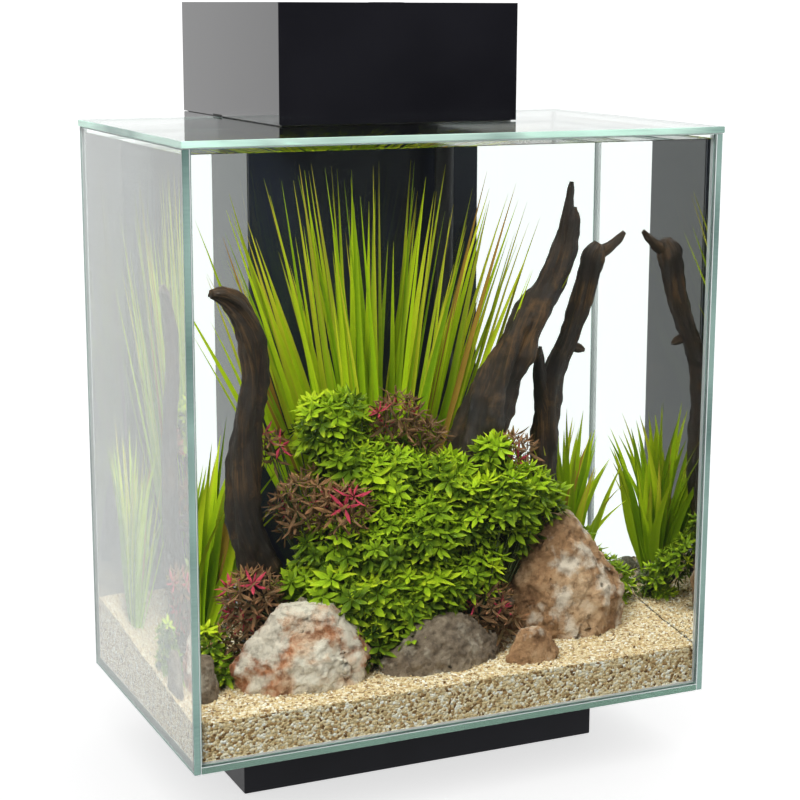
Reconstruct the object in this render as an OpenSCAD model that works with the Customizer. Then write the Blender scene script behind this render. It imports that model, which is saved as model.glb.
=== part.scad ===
// Aquarium on a stand: a glass tank on a low plinth. A black column behind the tank hides a
// hang-on filter, and a black lamp hood folds back from an opening in the glass top.
// Millimetres. The origin is on the floor under the middle of the tank; +Y is the back.

/* [Stand] */
// Width of the plinth
plinth_w = 305; // [240:5:360]
// How far the plinth reaches in front of the tank's middle
plinth_front = 60; // [40:5:110]
// How far the plinth reaches behind the tank's middle
plinth_back = 128; // [80:2:128]
// Height of the tank's underside above the floor
stand_h = 54; // [40:1:80]
// Thickness of the plinth's walls
plinth_wall = 4; // [3:0.5:6]
// Thickness of the rubber mat under the plinth
mat_t = 1; // [0.5:0.5:3]
// Thickness of the foam pad between the plinth and the glass
pad_t = 1; // [0.5:0.5:2]

/* [Tank] */
// Width of the glass top
tank_w = 432; // [424:1:460]
// Depth of the glass top
tank_d = 261; // [260:1:263]
// Height of the side panes
pane_h = 446; // [440:1:452]
// Thickness of the glass
glass_t = 5; // [4:0.5:6]
// How far the glass top stands out past the panes
top_overhang = 1; // [0.5:0.5:1.5]
// Thickness of the glue line between two panes
seam_t = 0.5; // [0.3:0.1:0.6]
// Width of the silicone bead in the inner corners
bead_leg = 2.5; // [2:0.5:4]
// Half width of the opening in the glass top
opening_half_w = 88; // [80:1:90]
// Front edge of the opening, behind the tank's middle
opening_front = 8; // [4:1:20]

/* [Hood] */
// Width of the hood and of the column
hood_w = 200; // [196:1:210]
// Height of the hood
hood_h = 90.5; // [85:0.5:110]
// How far the hood reaches in front of the tank's middle
hood_front = 10.5; // [10.5:0.5:30]
// Back face of the hood and the column, behind the tank's middle
hood_back = 217; // [217:1:230]
// Wall thickness of the hood and the column
shell_t = 2.5; // [2:0.5:3]
// Gap between the hood's lower edge and the glass top
hood_gap = 0.7; // [0.6:0.1:1.5]
// Distance of each hinge from the middle
hinge_x = 60; // [40:1:75]
// Radius of the hinge pins
hinge_pin_r = 1.5; // [1.2:0.1:2]

/* [Lamp] */
// Width of the lamp housing
lamp_w = 156; // [120:2:170]
// Depth of the lamp housing
lamp_d = 88; // [70:2:88]
// Height of the lamp housing
lamp_h = 18; // [16:1:24]
// Rows of light-emitting diodes, front to back
led_rows = 3; // [2:1:4]
// Light-emitting diodes in each row
led_columns = 7; // [4:1:9]

/* [Column] */
// Height of the column cover's lower edge above the floor
column_clear = 3; // [2:1:10]
// Inner radius of the cable grommet
grommet_r = 4.5; // [3:0.5:5]
// Height of the cable grommet above the floor
grommet_z = 40; // [30:1:80]

/* [Filter] */
// Width of the filter case
case_w = 156; // [150:1:160]
// Depth of the filter case
case_d = 70; // [66:1:72]
// Height of the filter case
case_h = 182; // [170:1:220]
// Wall thickness of the filter case
case_t = 2.5; // [2:0.5:3]
// Outer radius of the intake tube
tube_r = 8; // [7:0.5:8]
// Wall thickness of the intake tube
tube_t = 1.8; // [1.2:0.2:2]
// Blades on the impeller
blade_count = 6; // [4:1:8]

/* [Aquascape] */
// Height of the gravel at the front pane
gravel_front_h = 33; // [25:1:40]
// Height of the gravel at the back pane
gravel_back_h = 56; // [45:1:60]
// Height of the tall grass's tips above the floor
grass_top = 474; // [400:2:476]

/* [Hidden] */
$fn = 48;
eps = 0.01;          // overlap that joins two shapes of one solid
cut = 1;             // how far a cutting shape runs past what it cuts

// Tank levels and inner faces
body_w = tank_w - 2 * top_overhang;
body_d = tank_d - 2 * top_overhang;
floor_z = stand_h + glass_t;
pane_top = stand_h + pane_h;
top_z = pane_top + seam_t;
deck_z = top_z + glass_t;
inner_x = body_w / 2 - glass_t;
inner_y = body_d / 2 - glass_t;
wall_gap = 0.3;      // clearance between the gravel and the glass

// Hood and column
hood_z = deck_z + hood_gap;
hood_half = hood_w / 2;
rim_half = hood_half - shell_t - 0.5;   // outer faces of the frame inside the hood
frame_t = 2;
rail_w = 6;
rail_z = pane_top + 1;
rail_top = deck_z + frame_t;
column_front = body_d / 2 + 2.1;
panel_t = 1.5;
hinge_y = hood_back + 4.5;
hinge_r = 3.4;
pin_gap = 0.05;      // running clearance round the hinge pins and the impeller shaft
lug_half = 4.7;      // half length of the frame's barrel
knuckle_l = 7;
side_gap = 0.3;
bumper_l = 22;
bumper_h = 1.7;
bumper_y = body_d / 2;

// Lamp
lamp_front = 4;
lamp_z = hood_z + 9.8;
lamp_wall = 2;
lamp_mid_y = lamp_front + lamp_d / 2;
bracket_x = 60;
bracket_t = 2.5;
bracket_d = 36;
screw_r = 1.5;
board_z = lamp_z + lamp_h - 6;
board_t = 1.6;
led_r = 2.5;
led_h = 1.6;
pad_r = 14;

// Filter
case_front = column_front + 4.4;
case_mid_y = case_front + case_d / 2;
case_z = 330;
case_top = case_z + case_h;
intake_x = 61;
riser_y = 106;
bend_r = 12;
tube_z = pane_top + 1 + tube_r;
drop_y = 150;
drop_end = case_z + 20;
riser_end = 165;
partition_x = 40.5;
chamber_left = -case_w / 2 + case_t;
chamber_right = case_w / 2 - case_t;
spout_left = chamber_left + 5.5;
spout_right = partition_x - 6.5;
spout_front = inner_y - 6.5;
well_r = 11;
well_wall = 2;
well_z = case_z - 28;
shaft_r = 1.25;
rotor_r = 7.5;
basket_gap = 0.7;
basket_t = 1.6;
basket_z = case_z + 16;
basket_h = 152;
lever_y = 132;

// Hand-placed branches: [x, y, z, radius]
left_branch = [
    [-125, -10, 105, 17], [-128, -10, 160, 16], [-138, -14, 231, 14], [-145, -18, 309, 10],
    [-139, -20, 358, 9], [-146, -22, 380, 8], [-171, -30, 392, 4]
];
tall_branch = [
    [30, 0, 100, 20], [43, 0, 225, 19], [58, 5, 265, 17], [94, 8, 341, 13],
    [125, 10, 388, 10], [139, 10, 412, 8], [146, 12, 447, 4]
];
forked_branch = [
    [125, 45, 105, 14], [133, 46, 241, 12], [136, 46, 300, 11], [161, 45, 340, 9],
    [180, 42, 402, 7], [201, 38, 411, 3]
];
forked_stub = [[136, 46, 300, 8], [126, 44, 318, 4]];

// A box given by its lowest and highest corners.
module block(low, high) {
    translate(low) cube(high - low);
}

// A copy of the children on each side of the middle.
module both_sides() {
    for (side = [-1, 1]) {
        scale([side, 1, 1]) children();
    }
}

// A solid or hollow cylinder along +X whose middle is at the given place.
module x_barrel(place, radius, length, bore = 0) {
    translate(place) rotate([0, 90, 0]) difference() {
        cylinder(r = radius, h = length, center = true);
        if (bore > 0) cylinder(r = bore, h = length + 2 * cut, center = true);
    }
}

// ---------------------------------------------------------------- stand

module base_mat() {
    inset = 4;
    color("dimgray") block(
        [-plinth_w / 2 + inset, -plinth_front + inset, 0],
        [plinth_w / 2 - inset, plinth_back - inset, mat_t]
    );
}

module plinth() {
    top = stand_h - pad_t;
    half = plinth_w / 2;
    rib_t = 3;
    color("#17181c") {
        difference() {
            block([-half, -plinth_front, mat_t], [half, plinth_back, top]);
            block(
                [-half + plinth_wall, -plinth_front + plinth_wall, mat_t - cut],
                [half - plinth_wall, plinth_back - plinth_wall, top - plinth_wall]
            );
        }
        for (share = [-1, 0, 1]) {
            x = share * half / 2;
            block(
                [x - rib_t / 2, -plinth_front + plinth_wall - eps, mat_t],
                [x + rib_t / 2, plinth_back - plinth_wall + eps, top - plinth_wall + eps]
            );
        }
    }
}

module tank_pad() {
    inset = 3;
    color("#2a2a2c") block(
        [-plinth_w / 2 + inset, -plinth_front + inset, stand_h - pad_t],
        [plinth_w / 2 - inset, plinth_back - inset, stand_h]
    );
}

// ---------------------------------------------------------------- glass

module bottom_pane() {
    x = inner_x - seam_t;
    color("#cfe8dc", 0.4) block([-x, -body_d / 2, stand_h], [x, body_d / 2, floor_z]);
}

module end_pane(side) {
    x = inner_x - seam_t;
    y = side * (inner_y + glass_t / 2);
    color("#cfe8dc", 0.4) block(
        [-x, y - glass_t / 2, floor_z + seam_t],
        [x, y + glass_t / 2, pane_top]
    );
}

module front_pane() {
    end_pane(-1);
}

module back_pane() {
    end_pane(1);
}

module side_pane(side) {
    x = side * (inner_x + glass_t / 2);
    color("#cfe8dc", 0.4) block(
        [x - glass_t / 2, -body_d / 2, stand_h],
        [x + glass_t / 2, body_d / 2, pane_top]
    );
}

module left_pane() {
    side_pane(-1);
}

module right_pane() {
    side_pane(1);
}

module glass_top() {
    color("#cfe8dc", 0.4) difference() {
        block([-tank_w / 2, -tank_d / 2, top_z], [tank_w / 2, tank_d / 2, deck_z]);
        block(
            [-opening_half_w, opening_front, top_z - cut],
            [opening_half_w, tank_d / 2 + cut, deck_z + cut]
        );
    }
}

// Silicone beads along the floor and up the four inner corners.
module corner_beads() {
    difference() {
        block([-inner_x, -inner_y, floor_z], [inner_x, inner_y, floor_z + bead_leg]);
        block(
            [-inner_x + bead_leg, -inner_y + bead_leg, floor_z - cut],
            [inner_x - bead_leg, inner_y - bead_leg, floor_z + bead_leg + cut]
        );
    }
    for (sx = [-1, 1], sy = [-1, 1]) {
        scale([sx, sy, 1]) block(
            [inner_x - bead_leg, inner_y - bead_leg, floor_z],
            [inner_x, inner_y, pane_top - 1]
        );
    }
}

// The glue between the panes, the rim of glue under the glass top, and the inner beads.
module silicone_seams() {
    half_y = body_d / 2;
    color("#dfe4e4") {
        corner_beads();
        for (sx = [-1, 1], sy = [-1, 1]) {
            scale([sx, sy, 1]) {
                block([inner_x - seam_t, 0, stand_h], [inner_x, half_y, floor_z + seam_t]);
                block([0, inner_y, floor_z], [inner_x, half_y, floor_z + seam_t]);
                block([inner_x - seam_t, inner_y, floor_z], [inner_x, half_y, top_z]);
            }
        }
        difference() {
            block([-body_w / 2, -half_y, pane_top], [body_w / 2, half_y, top_z]);
            block([-inner_x, -inner_y, pane_top - cut], [inner_x, inner_y, top_z + cut]);
            block(
                [-opening_half_w, 0, pane_top - cut],
                [opening_half_w, half_y + cut, top_z + cut]
            );
        }
    }
}

module back_panel() {
    y = body_d / 2 + 0.2;
    color("#262934") block(
        [-hood_half + 0.5, y, stand_h + 2],
        [hood_half - 0.5, y + panel_t, pane_top - 0.5]
    );
}

// ---------------------------------------------------------------- hood

// Plastic rim of the opening, with rails that run back over the filter to the hinges.
module hood_frame() {
    flange_front = -hood_front + shell_t + 0.5;
    lip = 0.5;
    wall = 2;
    inner = opening_half_w - lip - wall;
    glass_back = tank_d / 2;
    rear = hood_back - shell_t - 0.5;
    color("#141519") difference() {
        union() {
            difference() {
                block([-rim_half, flange_front, deck_z], [rim_half, glass_back + eps, rail_top]);
                block(
                    [-inner, opening_front + lip + wall, deck_z - cut],
                    [inner, glass_back + cut, rail_top + cut]
                );
            }
            difference() {
                block(
                    [-inner - wall, opening_front + lip, top_z + 0.2],
                    [inner + wall, glass_back - glass_t - top_overhang - 1, deck_z + eps]
                );
                block(
                    [-inner, opening_front + lip + wall, top_z - cut],
                    [inner, glass_back + cut, deck_z + cut]
                );
            }
            both_sides() block(
                [rim_half - rail_w, glass_back + 0.5, rail_z],
                [rim_half, rear, rail_top]
            );
            both_sides() block(
                [rim_half - rail_w, glass_back - eps, deck_z],
                [rim_half, glass_back + 0.5 + eps, rail_top]
            );
            block([-rim_half, rear - 5, rail_z], [rim_half, rear, rail_top]);
            for (side = [-1, 1]) {
                x = side * hinge_x;
                block(
                    [x - lug_half, rear - 1, hood_z - 3.3],
                    [x + lug_half, hinge_y, hood_z - hood_gap + 0.1]
                );
                x_barrel([x, hinge_y, hood_z], hinge_r, 2 * lug_half);
            }
        }
        for (side = [-1, 1]) {
            x_barrel([side * hinge_x, hinge_y, hood_z], hinge_pin_r + pin_gap, 4 * lug_half);
        }
    }
}

module hood_knuckles() {
    offset_x = lug_half + side_gap + knuckle_l / 2;
    for (side = [-1, 1], end = [-1, 1]) {
        x = side * hinge_x + end * offset_x;
        block(
            [x - knuckle_l / 2, hood_back - 0.5, hood_z + 0.8],
            [x + knuckle_l / 2, hinge_y, hood_z + hinge_r]
        );
        x_barrel([x, hinge_y, hood_z], hinge_r, knuckle_l);
    }
}

module hood_shell() {
    top = hood_z + hood_h;
    color("#101014") difference() {
        union() {
            difference() {
                block([-hood_half, -hood_front, hood_z], [hood_half, hood_back, top]);
                block(
                    [-hood_half + shell_t, -hood_front + shell_t, hood_z - cut],
                    [hood_half - shell_t, hood_back - shell_t, top - shell_t]
                );
            }
            hood_knuckles();
        }
        for (side = [-1, 1]) {
            x_barrel([side * hinge_x, hinge_y, hood_z], hinge_pin_r + pin_gap, 40);
        }
        both_sides() block(
            [hood_half - shell_t - cut, bumper_y - bumper_l / 2, hood_z - cut],
            [hood_half + cut, bumper_y + bumper_l / 2, hood_z + bumper_h - hood_gap + 0.2]
        );
        translate([0, 2 * pad_r - hood_front, top - 1.2]) cylinder(r = pad_r + 0.1, h = 2);
    }
}

module hinge_pins() {
    length = 2 * (lug_half + side_gap + knuckle_l);
    color("silver") for (side = [-1, 1]) {
        x_barrel([side * hinge_x, hinge_y, hood_z], hinge_pin_r, length);
    }
}

module hood_bumpers() {
    color("#1c1c1e") both_sides() block(
        [hood_half - shell_t, bumper_y - bumper_l / 2 + 0.1, deck_z + 0.2],
        [hood_half + 0.2, bumper_y + bumper_l / 2 - 0.1, hood_z + bumper_h - hood_gap + 0.2]
    );
}

module touch_pad() {
    color("#2b2c31") translate([0, 2 * pad_r - hood_front, hood_z + hood_h - 1.2]) {
        cylinder(r = pad_r, h = 1.5);
    }
}

// ---------------------------------------------------------------- lamp

module lamp_housing() {
    half = lamp_w / 2;
    back = lamp_front + lamp_d;
    top = lamp_z + lamp_h;
    color("#1a1b1f") difference() {
        block([-half, lamp_front, lamp_z], [half, back, top]);
        block(
            [-half + lamp_wall, lamp_front + lamp_wall, lamp_z - cut],
            [half - lamp_wall, back - lamp_wall, top - lamp_wall]
        );
        lamp_screw_places() cylinder(r = screw_r + 0.1, h = 4 * lamp_wall, center = true);
    }
}

// The children at each of the four screws, at the top of the lamp housing.
module lamp_screw_places() {
    for (side = [-1, 1], end = [-1, 1]) {
        translate([side * (bracket_x + 7), lamp_mid_y + end * 10, lamp_z + lamp_h]) children();
    }
}

module lamp_brackets() {
    z = lamp_z + lamp_h;
    roof = hood_z + hood_h - shell_t;
    foot = 12;
    color("#24262b") difference() {
        both_sides() {
            block(
                [bracket_x, lamp_mid_y - bracket_d / 2, z],
                [bracket_x + bracket_t, lamp_mid_y + bracket_d / 2, roof]
            );
            block(
                [bracket_x, lamp_mid_y - bracket_d / 2, z],
                [bracket_x + foot, lamp_mid_y + bracket_d / 2, z + 2]
            );
        }
        lamp_screw_places() cylinder(r = screw_r + 0.1, h = 5, center = true);
    }
}

module lamp_screws() {
    color("silver") lamp_screw_places() {
        translate([0, 0, -4]) cylinder(r = screw_r, h = 6);
        translate([0, 0, 2]) difference() {
            cylinder(r = 2.8, h = 1.8);
            translate([0, 0, 0.9]) for (turn = [0, 90]) {
                rotate([0, 0, turn]) translate([-1.6, -0.4, 0]) cube([3.2, 0.8, 1]);
            }
        }
    }
}

module led_board() {
    color("white") block(
        [-lamp_w / 2 + 14, lamp_front + 8, board_z],
        [lamp_w / 2 - 14, lamp_front + lamp_d - 8, board_z + board_t]
    );
}

module leds() {
    step_x = (lamp_w - 48) / (led_columns - 1);
    step_y = (lamp_d - 36) / (led_rows - 1);
    color("#fff7d8") for (i = [0:led_columns - 1], j = [0:led_rows - 1]) {
        translate([
            (i - (led_columns - 1) / 2) * step_x,
            lamp_mid_y + (j - (led_rows - 1) / 2) * step_y,
            board_z - led_h
        ]) cylinder(r = led_r, h = led_h, $fn = 24);
    }
}

module lamp_lens() {
    half = lamp_w / 2 - lamp_wall - 0.1;
    color("#f4f8fb", 0.5) block(
        [-half, lamp_front + lamp_wall + 0.1, lamp_z + 0.4],
        [half, lamp_front + lamp_d - lamp_wall - 0.1, lamp_z + 2.4]
    );
}

// ---------------------------------------------------------------- column

module rear_cover() {
    top = deck_z + 0.1;
    notch_half = lug_half + side_gap + knuckle_l + 1.5;
    color("#15161a") difference() {
        block([-hood_half, column_front, column_clear], [hood_half, hood_back, top]);
        block(
            [-hood_half + shell_t, column_front - cut, column_clear - cut],
            [hood_half - shell_t, hood_back - shell_t, top + cut]
        );
        for (side = [-1, 1]) {
            block(
                [side * hinge_x - notch_half, hood_back - shell_t - cut, rail_z - 0.7],
                [side * hinge_x + notch_half, hood_back + cut, top + cut]
            );
        }
        translate([0, hood_back - shell_t / 2, grommet_z]) rotate([90, 0, 0])
            cylinder(r = grommet_r + 2, h = shell_t + 2 * cut, center = true);
    }
}

module cable_grommet() {
    lip = 1.5;
    color("#0c0c0d") translate([0, hood_back - shell_t / 2, grommet_z]) rotate([90, 0, 0])
        difference() {
            union() {
                cylinder(r = grommet_r + 2, h = shell_t, center = true);
                for (end = [-1, 1]) {
                    translate([0, 0, end * (shell_t + lip) / 2])
                        cylinder(r = grommet_r + 4.5, h = lip, center = true);
                }
            }
            cylinder(r = grommet_r, h = shell_t + 4 * lip, center = true);
        }
}

// ---------------------------------------------------------------- filter

module filter_case() {
    half = case_w / 2;
    back = case_front + case_d;
    rim = pane_top + 2.5;
    floor_top = case_z + case_t;
    color("#3a3d45", 0.9) difference() {
        union() {
            difference() {
                block([-half, case_front, case_z], [half, back, case_top]);
                block(
                    [chamber_left, case_front + case_t, floor_top],
                    [partition_x, back - case_t, case_top + cut]
                );
                block(
                    [partition_x + case_t, case_front + case_t, floor_top],
                    [chamber_right, back - case_t, case_top + cut]
                );
                block(
                    [spout_left, case_front - cut, rim],
                    [spout_right, case_front + case_t + cut, case_top + cut]
                );
                block(
                    [intake_x - tube_r - 2, case_front - cut, pane_top],
                    [intake_x + tube_r + 2, case_front + case_t + cut, case_top + cut]
                );
                block(
                    [partition_x - cut, case_mid_y - 20, floor_top],
                    [partition_x + case_t + cut, case_mid_y + 20, floor_top + 10]
                );
            }
            block(
                [spout_left - case_t, spout_front, pane_top],
                [spout_right + case_t, case_front + eps, rim]
            );
            for (x = [spout_left - case_t, spout_right]) {
                block([x, spout_front, pane_top], [x + case_t, case_front + eps, case_top]);
            }
            block(
                [spout_left - case_t, spout_front, pane_top - 10],
                [spout_right + case_t, spout_front + case_t, rim]
            );
            translate([intake_x, drop_y, well_z]) cylinder(r = well_r, h = case_z - well_z + 1);
        }
        translate([intake_x, drop_y, well_z + well_wall])
            cylinder(r = well_r - well_wall, h = case_z - well_z + 2 * cut);
    }
}

module filter_lid() {
    left = -case_w / 2 + 0.2;
    right = partition_x - 0.5;
    front = case_front + 0.5;
    back = case_front + case_d - 0.5;
    z = case_top + 0.2;
    rim = 1.5;
    color("#4a4d55") {
        block([left, front, z], [right, back, z + 2.3]);
        difference() {
            block(
                [chamber_left + 0.5, case_front + case_t + 0.5, z - 4],
                [right - 0.1, back - case_t, z + eps]
            );
            block(
                [chamber_left + 0.5 + rim, case_front - cut, z - 4 - cut],
                [right - 0.1 - rim, back - case_t - rim, z]
            );
        }
        block([-35, case_mid_y - 3, z + 2.3 - eps], [-5, case_mid_y + 3, z + 9]);
    }
}

module media_basket() {
    left = chamber_left + basket_gap;
    right = partition_x - basket_gap;
    front = case_front + case_t + basket_gap;
    back = case_front + case_d - case_t - basket_gap;
    top = basket_z + basket_h;
    slot_w = 3;
    slot_count = 7;
    pitch = (right - left) / (slot_count + 1);
    color("#70757e") {
        difference() {
            block([left, front, basket_z], [right, back, top]);
            block(
                [left + basket_t, front + basket_t, basket_z + basket_t],
                [right - basket_t, back - basket_t, top + cut]
            );
            for (i = [1:slot_count]) {
                x = left + i * pitch;
                block(
                    [x - slot_w / 2, front + 6, basket_z - cut],
                    [x + slot_w / 2, back - 6, basket_z + basket_t + cut]
                );
                block(
                    [x - slot_w / 2, front - cut, top - 24],
                    [x + slot_w / 2, front + basket_t + cut, top - 6]
                );
            }
        }
        for (x = [left + 4, right - 7]) {
            block([x, case_mid_y - 3, top - 12], [x + 3, case_mid_y + 3, top + 8]);
        }
        for (x = [left, right - 4 - eps]) {
            block([x + eps, case_mid_y - 3, top - 12], [x + 4 + eps, case_mid_y + 3, top - 9]);
        }
        block([left + 4, case_mid_y - 3, top + 5], [right - 4, case_mid_y + 3, top + 8]);
    }
}

// A block of filter media that fills the basket between two heights.
module media_block(low, high) {
    clearance = basket_gap + basket_t + 0.3;
    block(
        [chamber_left + clearance, case_front + case_t + clearance, basket_z + low],
        [partition_x - clearance, case_front + case_d - case_t - clearance, basket_z + high]
    );
}

module foam_block() {
    color("#2c3038") media_block(basket_t + 0.1, 50);
}

module carbon_bag() {
    color("#1b1b1b") media_block(50.3, 92);
}

module ceramic_rings() {
    ring_r = 6;
    ring_h = 14;
    columns = 8;
    rows = 4;
    layers = 2;
    start_x = chamber_left + 10.5;
    start_y = case_front + case_t + 3.2;
    color("#efe6d6") for (i = [0:columns - 1], j = [0:rows - 1], k = [0:layers - 1]) {
        translate([
            start_x + i * (2 * ring_r + 1),
            start_y + (j + 0.5) * (ring_h + 0.8),
            basket_z + 92.5 + ring_r + k * (2 * ring_r + 0.3)
        ]) rotate([90, 0, 0]) difference() {
            cylinder(r = ring_r, h = ring_h, center = true, $fn = 24);
            cylinder(r = ring_r / 2, h = ring_h + 2 * cut, center = true, $fn = 24);
        }
    }
}

// One quarter bend of the intake tube, in the YZ plane.
module tube_bend(centre, turn, radius) {
    translate(centre) rotate([0, -90, 0]) rotate([0, 0, turn])
        rotate_extrude(angle = 90) translate([bend_r, 0]) circle(r = radius);
}

module tube_run(radius, extra) {
    top_z0 = tube_z - bend_r;
    translate([intake_x, riser_y, riser_end - extra])
        cylinder(r = radius, h = top_z0 - riser_end + extra + eps);
    translate([intake_x, drop_y, drop_end - extra])
        cylinder(r = radius, h = top_z0 - drop_end + extra + eps);
    translate([intake_x, riser_y + bend_r - eps, tube_z]) rotate([-90, 0, 0])
        cylinder(r = radius, h = drop_y - riser_y - 2 * bend_r + 2 * eps);
    tube_bend([intake_x, riser_y + bend_r, top_z0], -90, radius);
    tube_bend([intake_x, drop_y - bend_r, top_z0], 0, radius);
}

module intake_tube() {
    color("#23252b") difference() {
        tube_run(tube_r, 0);
        tube_run(tube_r - tube_t, cut);
        translate([intake_x, lever_y, tube_z]) cylinder(r = 2 + pin_gap, h = 2 * tube_r);
    }
}

module flow_lever() {
    z = tube_z + tube_r + 0.3;
    plate_r = tube_r - tube_t - 0.5;
    arm_w = 5;
    color("#8b9098") translate([intake_x, lever_y, 0]) {
        translate([0, 0, z]) cylinder(r = 7, h = 2.2);
        block([0, -arm_w / 2, z], [21, arm_w / 2, z + 2.2]);
        translate([21, 0, z]) cylinder(r = arm_w / 2, h = 4);
        translate([0, 0, tube_z - plate_r + 1]) cylinder(r = 1.2, h = 2 * plate_r - 2);
        translate([0, 0, tube_z + plate_r - 1]) cylinder(r = 2, h = z - tube_z - plate_r + 1.5);
        x_barrel([0, 0, tube_z], plate_r, 1);
    }
}

module strainer() {
    outer = tube_r + 2.5;
    bore = tube_r + 0.05;
    low = riser_end - 43;
    color("#23252b") translate([intake_x, riser_y, low]) difference() {
        cylinder(r = outer, h = 53);
        translate([0, 0, 2]) cylinder(r = bore, h = 60);
        for (level = [0:3], turn = [0:30:150]) {
            translate([0, 0, 6 + level * 9]) rotate([0, 0, turn])
                translate([-outer - cut, -1, 0]) cube([2 * outer + 2 * cut, 2, 6]);
        }
    }
}

module intake_sponge() {
    inner = tube_r + 2.5;
    color("#1f2023") translate([intake_x, riser_y, riser_end - 43.5]) difference() {
        cylinder(r = inner + 6.5, h = 46);
        translate([0, 0, 0.5]) cylinder(r = inner, h = 60);
    }
}

module motor_housing() {
    half = 20;
    bottom = well_z - 4;
    color("#1d1f24") difference() {
        union() {
            block(
                [intake_x - half, drop_y - well_r - 2, bottom],
                [intake_x + half, drop_y + half + 7, case_z - 0.3]
            );
            translate([intake_x, drop_y + half, bottom - 6]) cylinder(r = 5, h = 7);
        }
        translate([intake_x, drop_y, well_z - 0.3]) cylinder(r = well_r + 0.3, h = 60);
    }
}

module impeller() {
    low = well_z + well_wall + 2;
    floor_top = case_z + case_t;
    color("#5b6270") translate([intake_x, drop_y, 0]) difference() {
        union() {
            translate([0, 0, low]) cylinder(r = rotor_r, h = 24);
            translate([0, 0, low + 23]) cylinder(r = 3, h = floor_top - low - 21);
            translate([0, 0, floor_top + 1]) cylinder(r = 8, h = 1.5);
            for (i = [0:blade_count - 1]) {
                rotate([0, 0, i * 360 / blade_count])
                    translate([1.5, -0.6, floor_top + 2]) cube([7, 1.2, 8]);
            }
            translate([0, 0, floor_top + 1]) cylinder(r = 2.8, h = 9);
        }
        translate([0, 0, low - cut]) cylinder(r = shaft_r + pin_gap, h = 60);
    }
}

module impeller_shaft() {
    color("white") translate([intake_x, drop_y, well_z + well_wall])
        cylinder(r = shaft_r, h = 43);
}

// ---------------------------------------------------------------- aquascape

module gravel_bed() {
    half_y = inner_y - wall_gap;
    half_x = inner_x - wall_gap;
    front = floor_z + gravel_front_h;
    back = floor_z + gravel_back_h;
    rise = back - front;
    profile = [
        [-half_y, floor_z], [half_y, floor_z], [half_y, back],
        [half_y / 2, front + 0.8 * rise], [0, front + 0.5 * rise],
        [-half_y / 2, front + 0.2 * rise], [-half_y, front]
    ];
    color("#c9b48c") difference() {
        translate([-half_x, 0, 0]) rotate([90, 0, 90])
            linear_extrude(2 * half_x) polygon(profile);
        corner_beads();
    }
}

// A rounded boulder: a hull over balls placed on three rings, the middle one widest.
module boulder(place, size, turn, top_shift = [0, 0], corner = 6) {
    rings = [[0.80, 0.0], [1.0, 0.42], [0.42, 1.0]];
    color("#a5795b") translate(place) rotate([0, 0, turn]) hull() {
        for (ring = rings, i = [0:6]) {
            angle = i * 360 / 7 + ring[1] * 40;
            wobble = 0.86 + 0.14 * sin(i * 137 + ring[1] * 200 + turn);
            translate([
                (size[0] / 2 - corner) * ring[0] * wobble * cos(angle) + top_shift[0] * ring[1],
                (size[1] / 2 - corner) * ring[0] * wobble * sin(angle) + top_shift[1] * ring[1],
                corner + ring[1] * (size[2] - 2 * corner)
            ]) sphere(r = corner, $fn = 16);
        }
    }
}

module rock_left() {
    boulder([-119, -70, 78], [114, 64, 80], 0, [4, 4], 9);
}

module rock_middle() {
    boulder([-5, -71, 76], [100, 56, 56], 10, [0, 0], 9);
}

module rock_right() {
    boulder([112, -34, 78], [116, 78, 114], -25, [-14, 6], 9);
}

module rock_small_right() {
    boulder([69, -98, 80], [44, 26, 40], 5, [0, 0], 5);
}

module rock_small_left() {
    boulder([-194, -68, 80], [28, 34, 48], 0, [0, 0], 5);
}

module pebbles() {
    stones = [[168, 66, 108, 24], [190, 84, 110, 20], [186, 52, 106, 16]];
    for (stone = stones) {
        boulder([stone[0], stone[1], stone[2]], [stone[3], stone[3] * 0.8, stone[3] * 0.7],
            stone[3], [0, 0], 3);
    }
}

// A branch through a list of [x, y, z, radius] places.
module branch(places) {
    for (i = [0:len(places) - 2]) {
        hull() for (p = [places[i], places[i + 1]]) {
            translate([p[0], p[1], p[2]]) sphere(r = p[3], $fn = 18);
        }
    }
}

module driftwood_left() {
    color("#3f2d20") branch(left_branch);
}

module driftwood_tall() {
    color("#3a2a20") branch(tall_branch);
}

module driftwood_forked() {
    color("#33291f") {
        branch(forked_branch);
        branch(forked_stub);
    }
}

// The outer shape of a clump of blades that spreads as it rises.
module clump(place, height, foot_r, crown_r) {
    translate(place) cylinder(r1 = foot_r, r2 = crown_r, h = height, $fn = 32);
}

module tall_grass() {
    foot_z = 98;
    color("#8fbf3a") clump([-15, 56, foot_z], grass_top - foot_z, 12, 46);
}

module grass_right() {
    color("#9cc24a") clump([166, 88, 106], 160, 8, 26);
}

module grass_left() {
    color("#9cc24a") clump([-162, 62, 102], 190, 8, 28);
}

module leafy_bush() {
    heads = [[-62, -8, 140, 16], [-60, -7, 210, 24], [-76, -4, 246, 20], [-40, -6, 262, 20], [-52, -4, 296, 14]];
    color("#4f9a35") hull() for (head = heads) {
        translate([head[0], head[1], head[2]]) sphere(r = head[3], $fn = 24);
    }
}

module leafy_bush_right() {
    heads = [[36, -42, 236, 14], [88, -42, 232, 14], [58, -42, 264, 14], [70, -42, 216, 12]];
    color("#4f9a35") hull() for (head = heads) {
        translate([head[0], head[1], head[2]]) sphere(r = head[3], $fn = 24);
    }
}

module sprigs() {
    tufts = [[190, 10, 128, 14], [-182, -18, 126, 14]];
    color("#5da33c") for (tuft = tufts) {
        translate([tuft[0], tuft[1], 0]) hull() {
            translate([0, 0, tuft[2]]) sphere(r = tuft[3], $fn = 20);
            translate([0, 0, 100]) sphere(r = tuft[3] / 2, $fn = 20);
        }
    }
}

// ---------------------------------------------------------------- nodes

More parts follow.
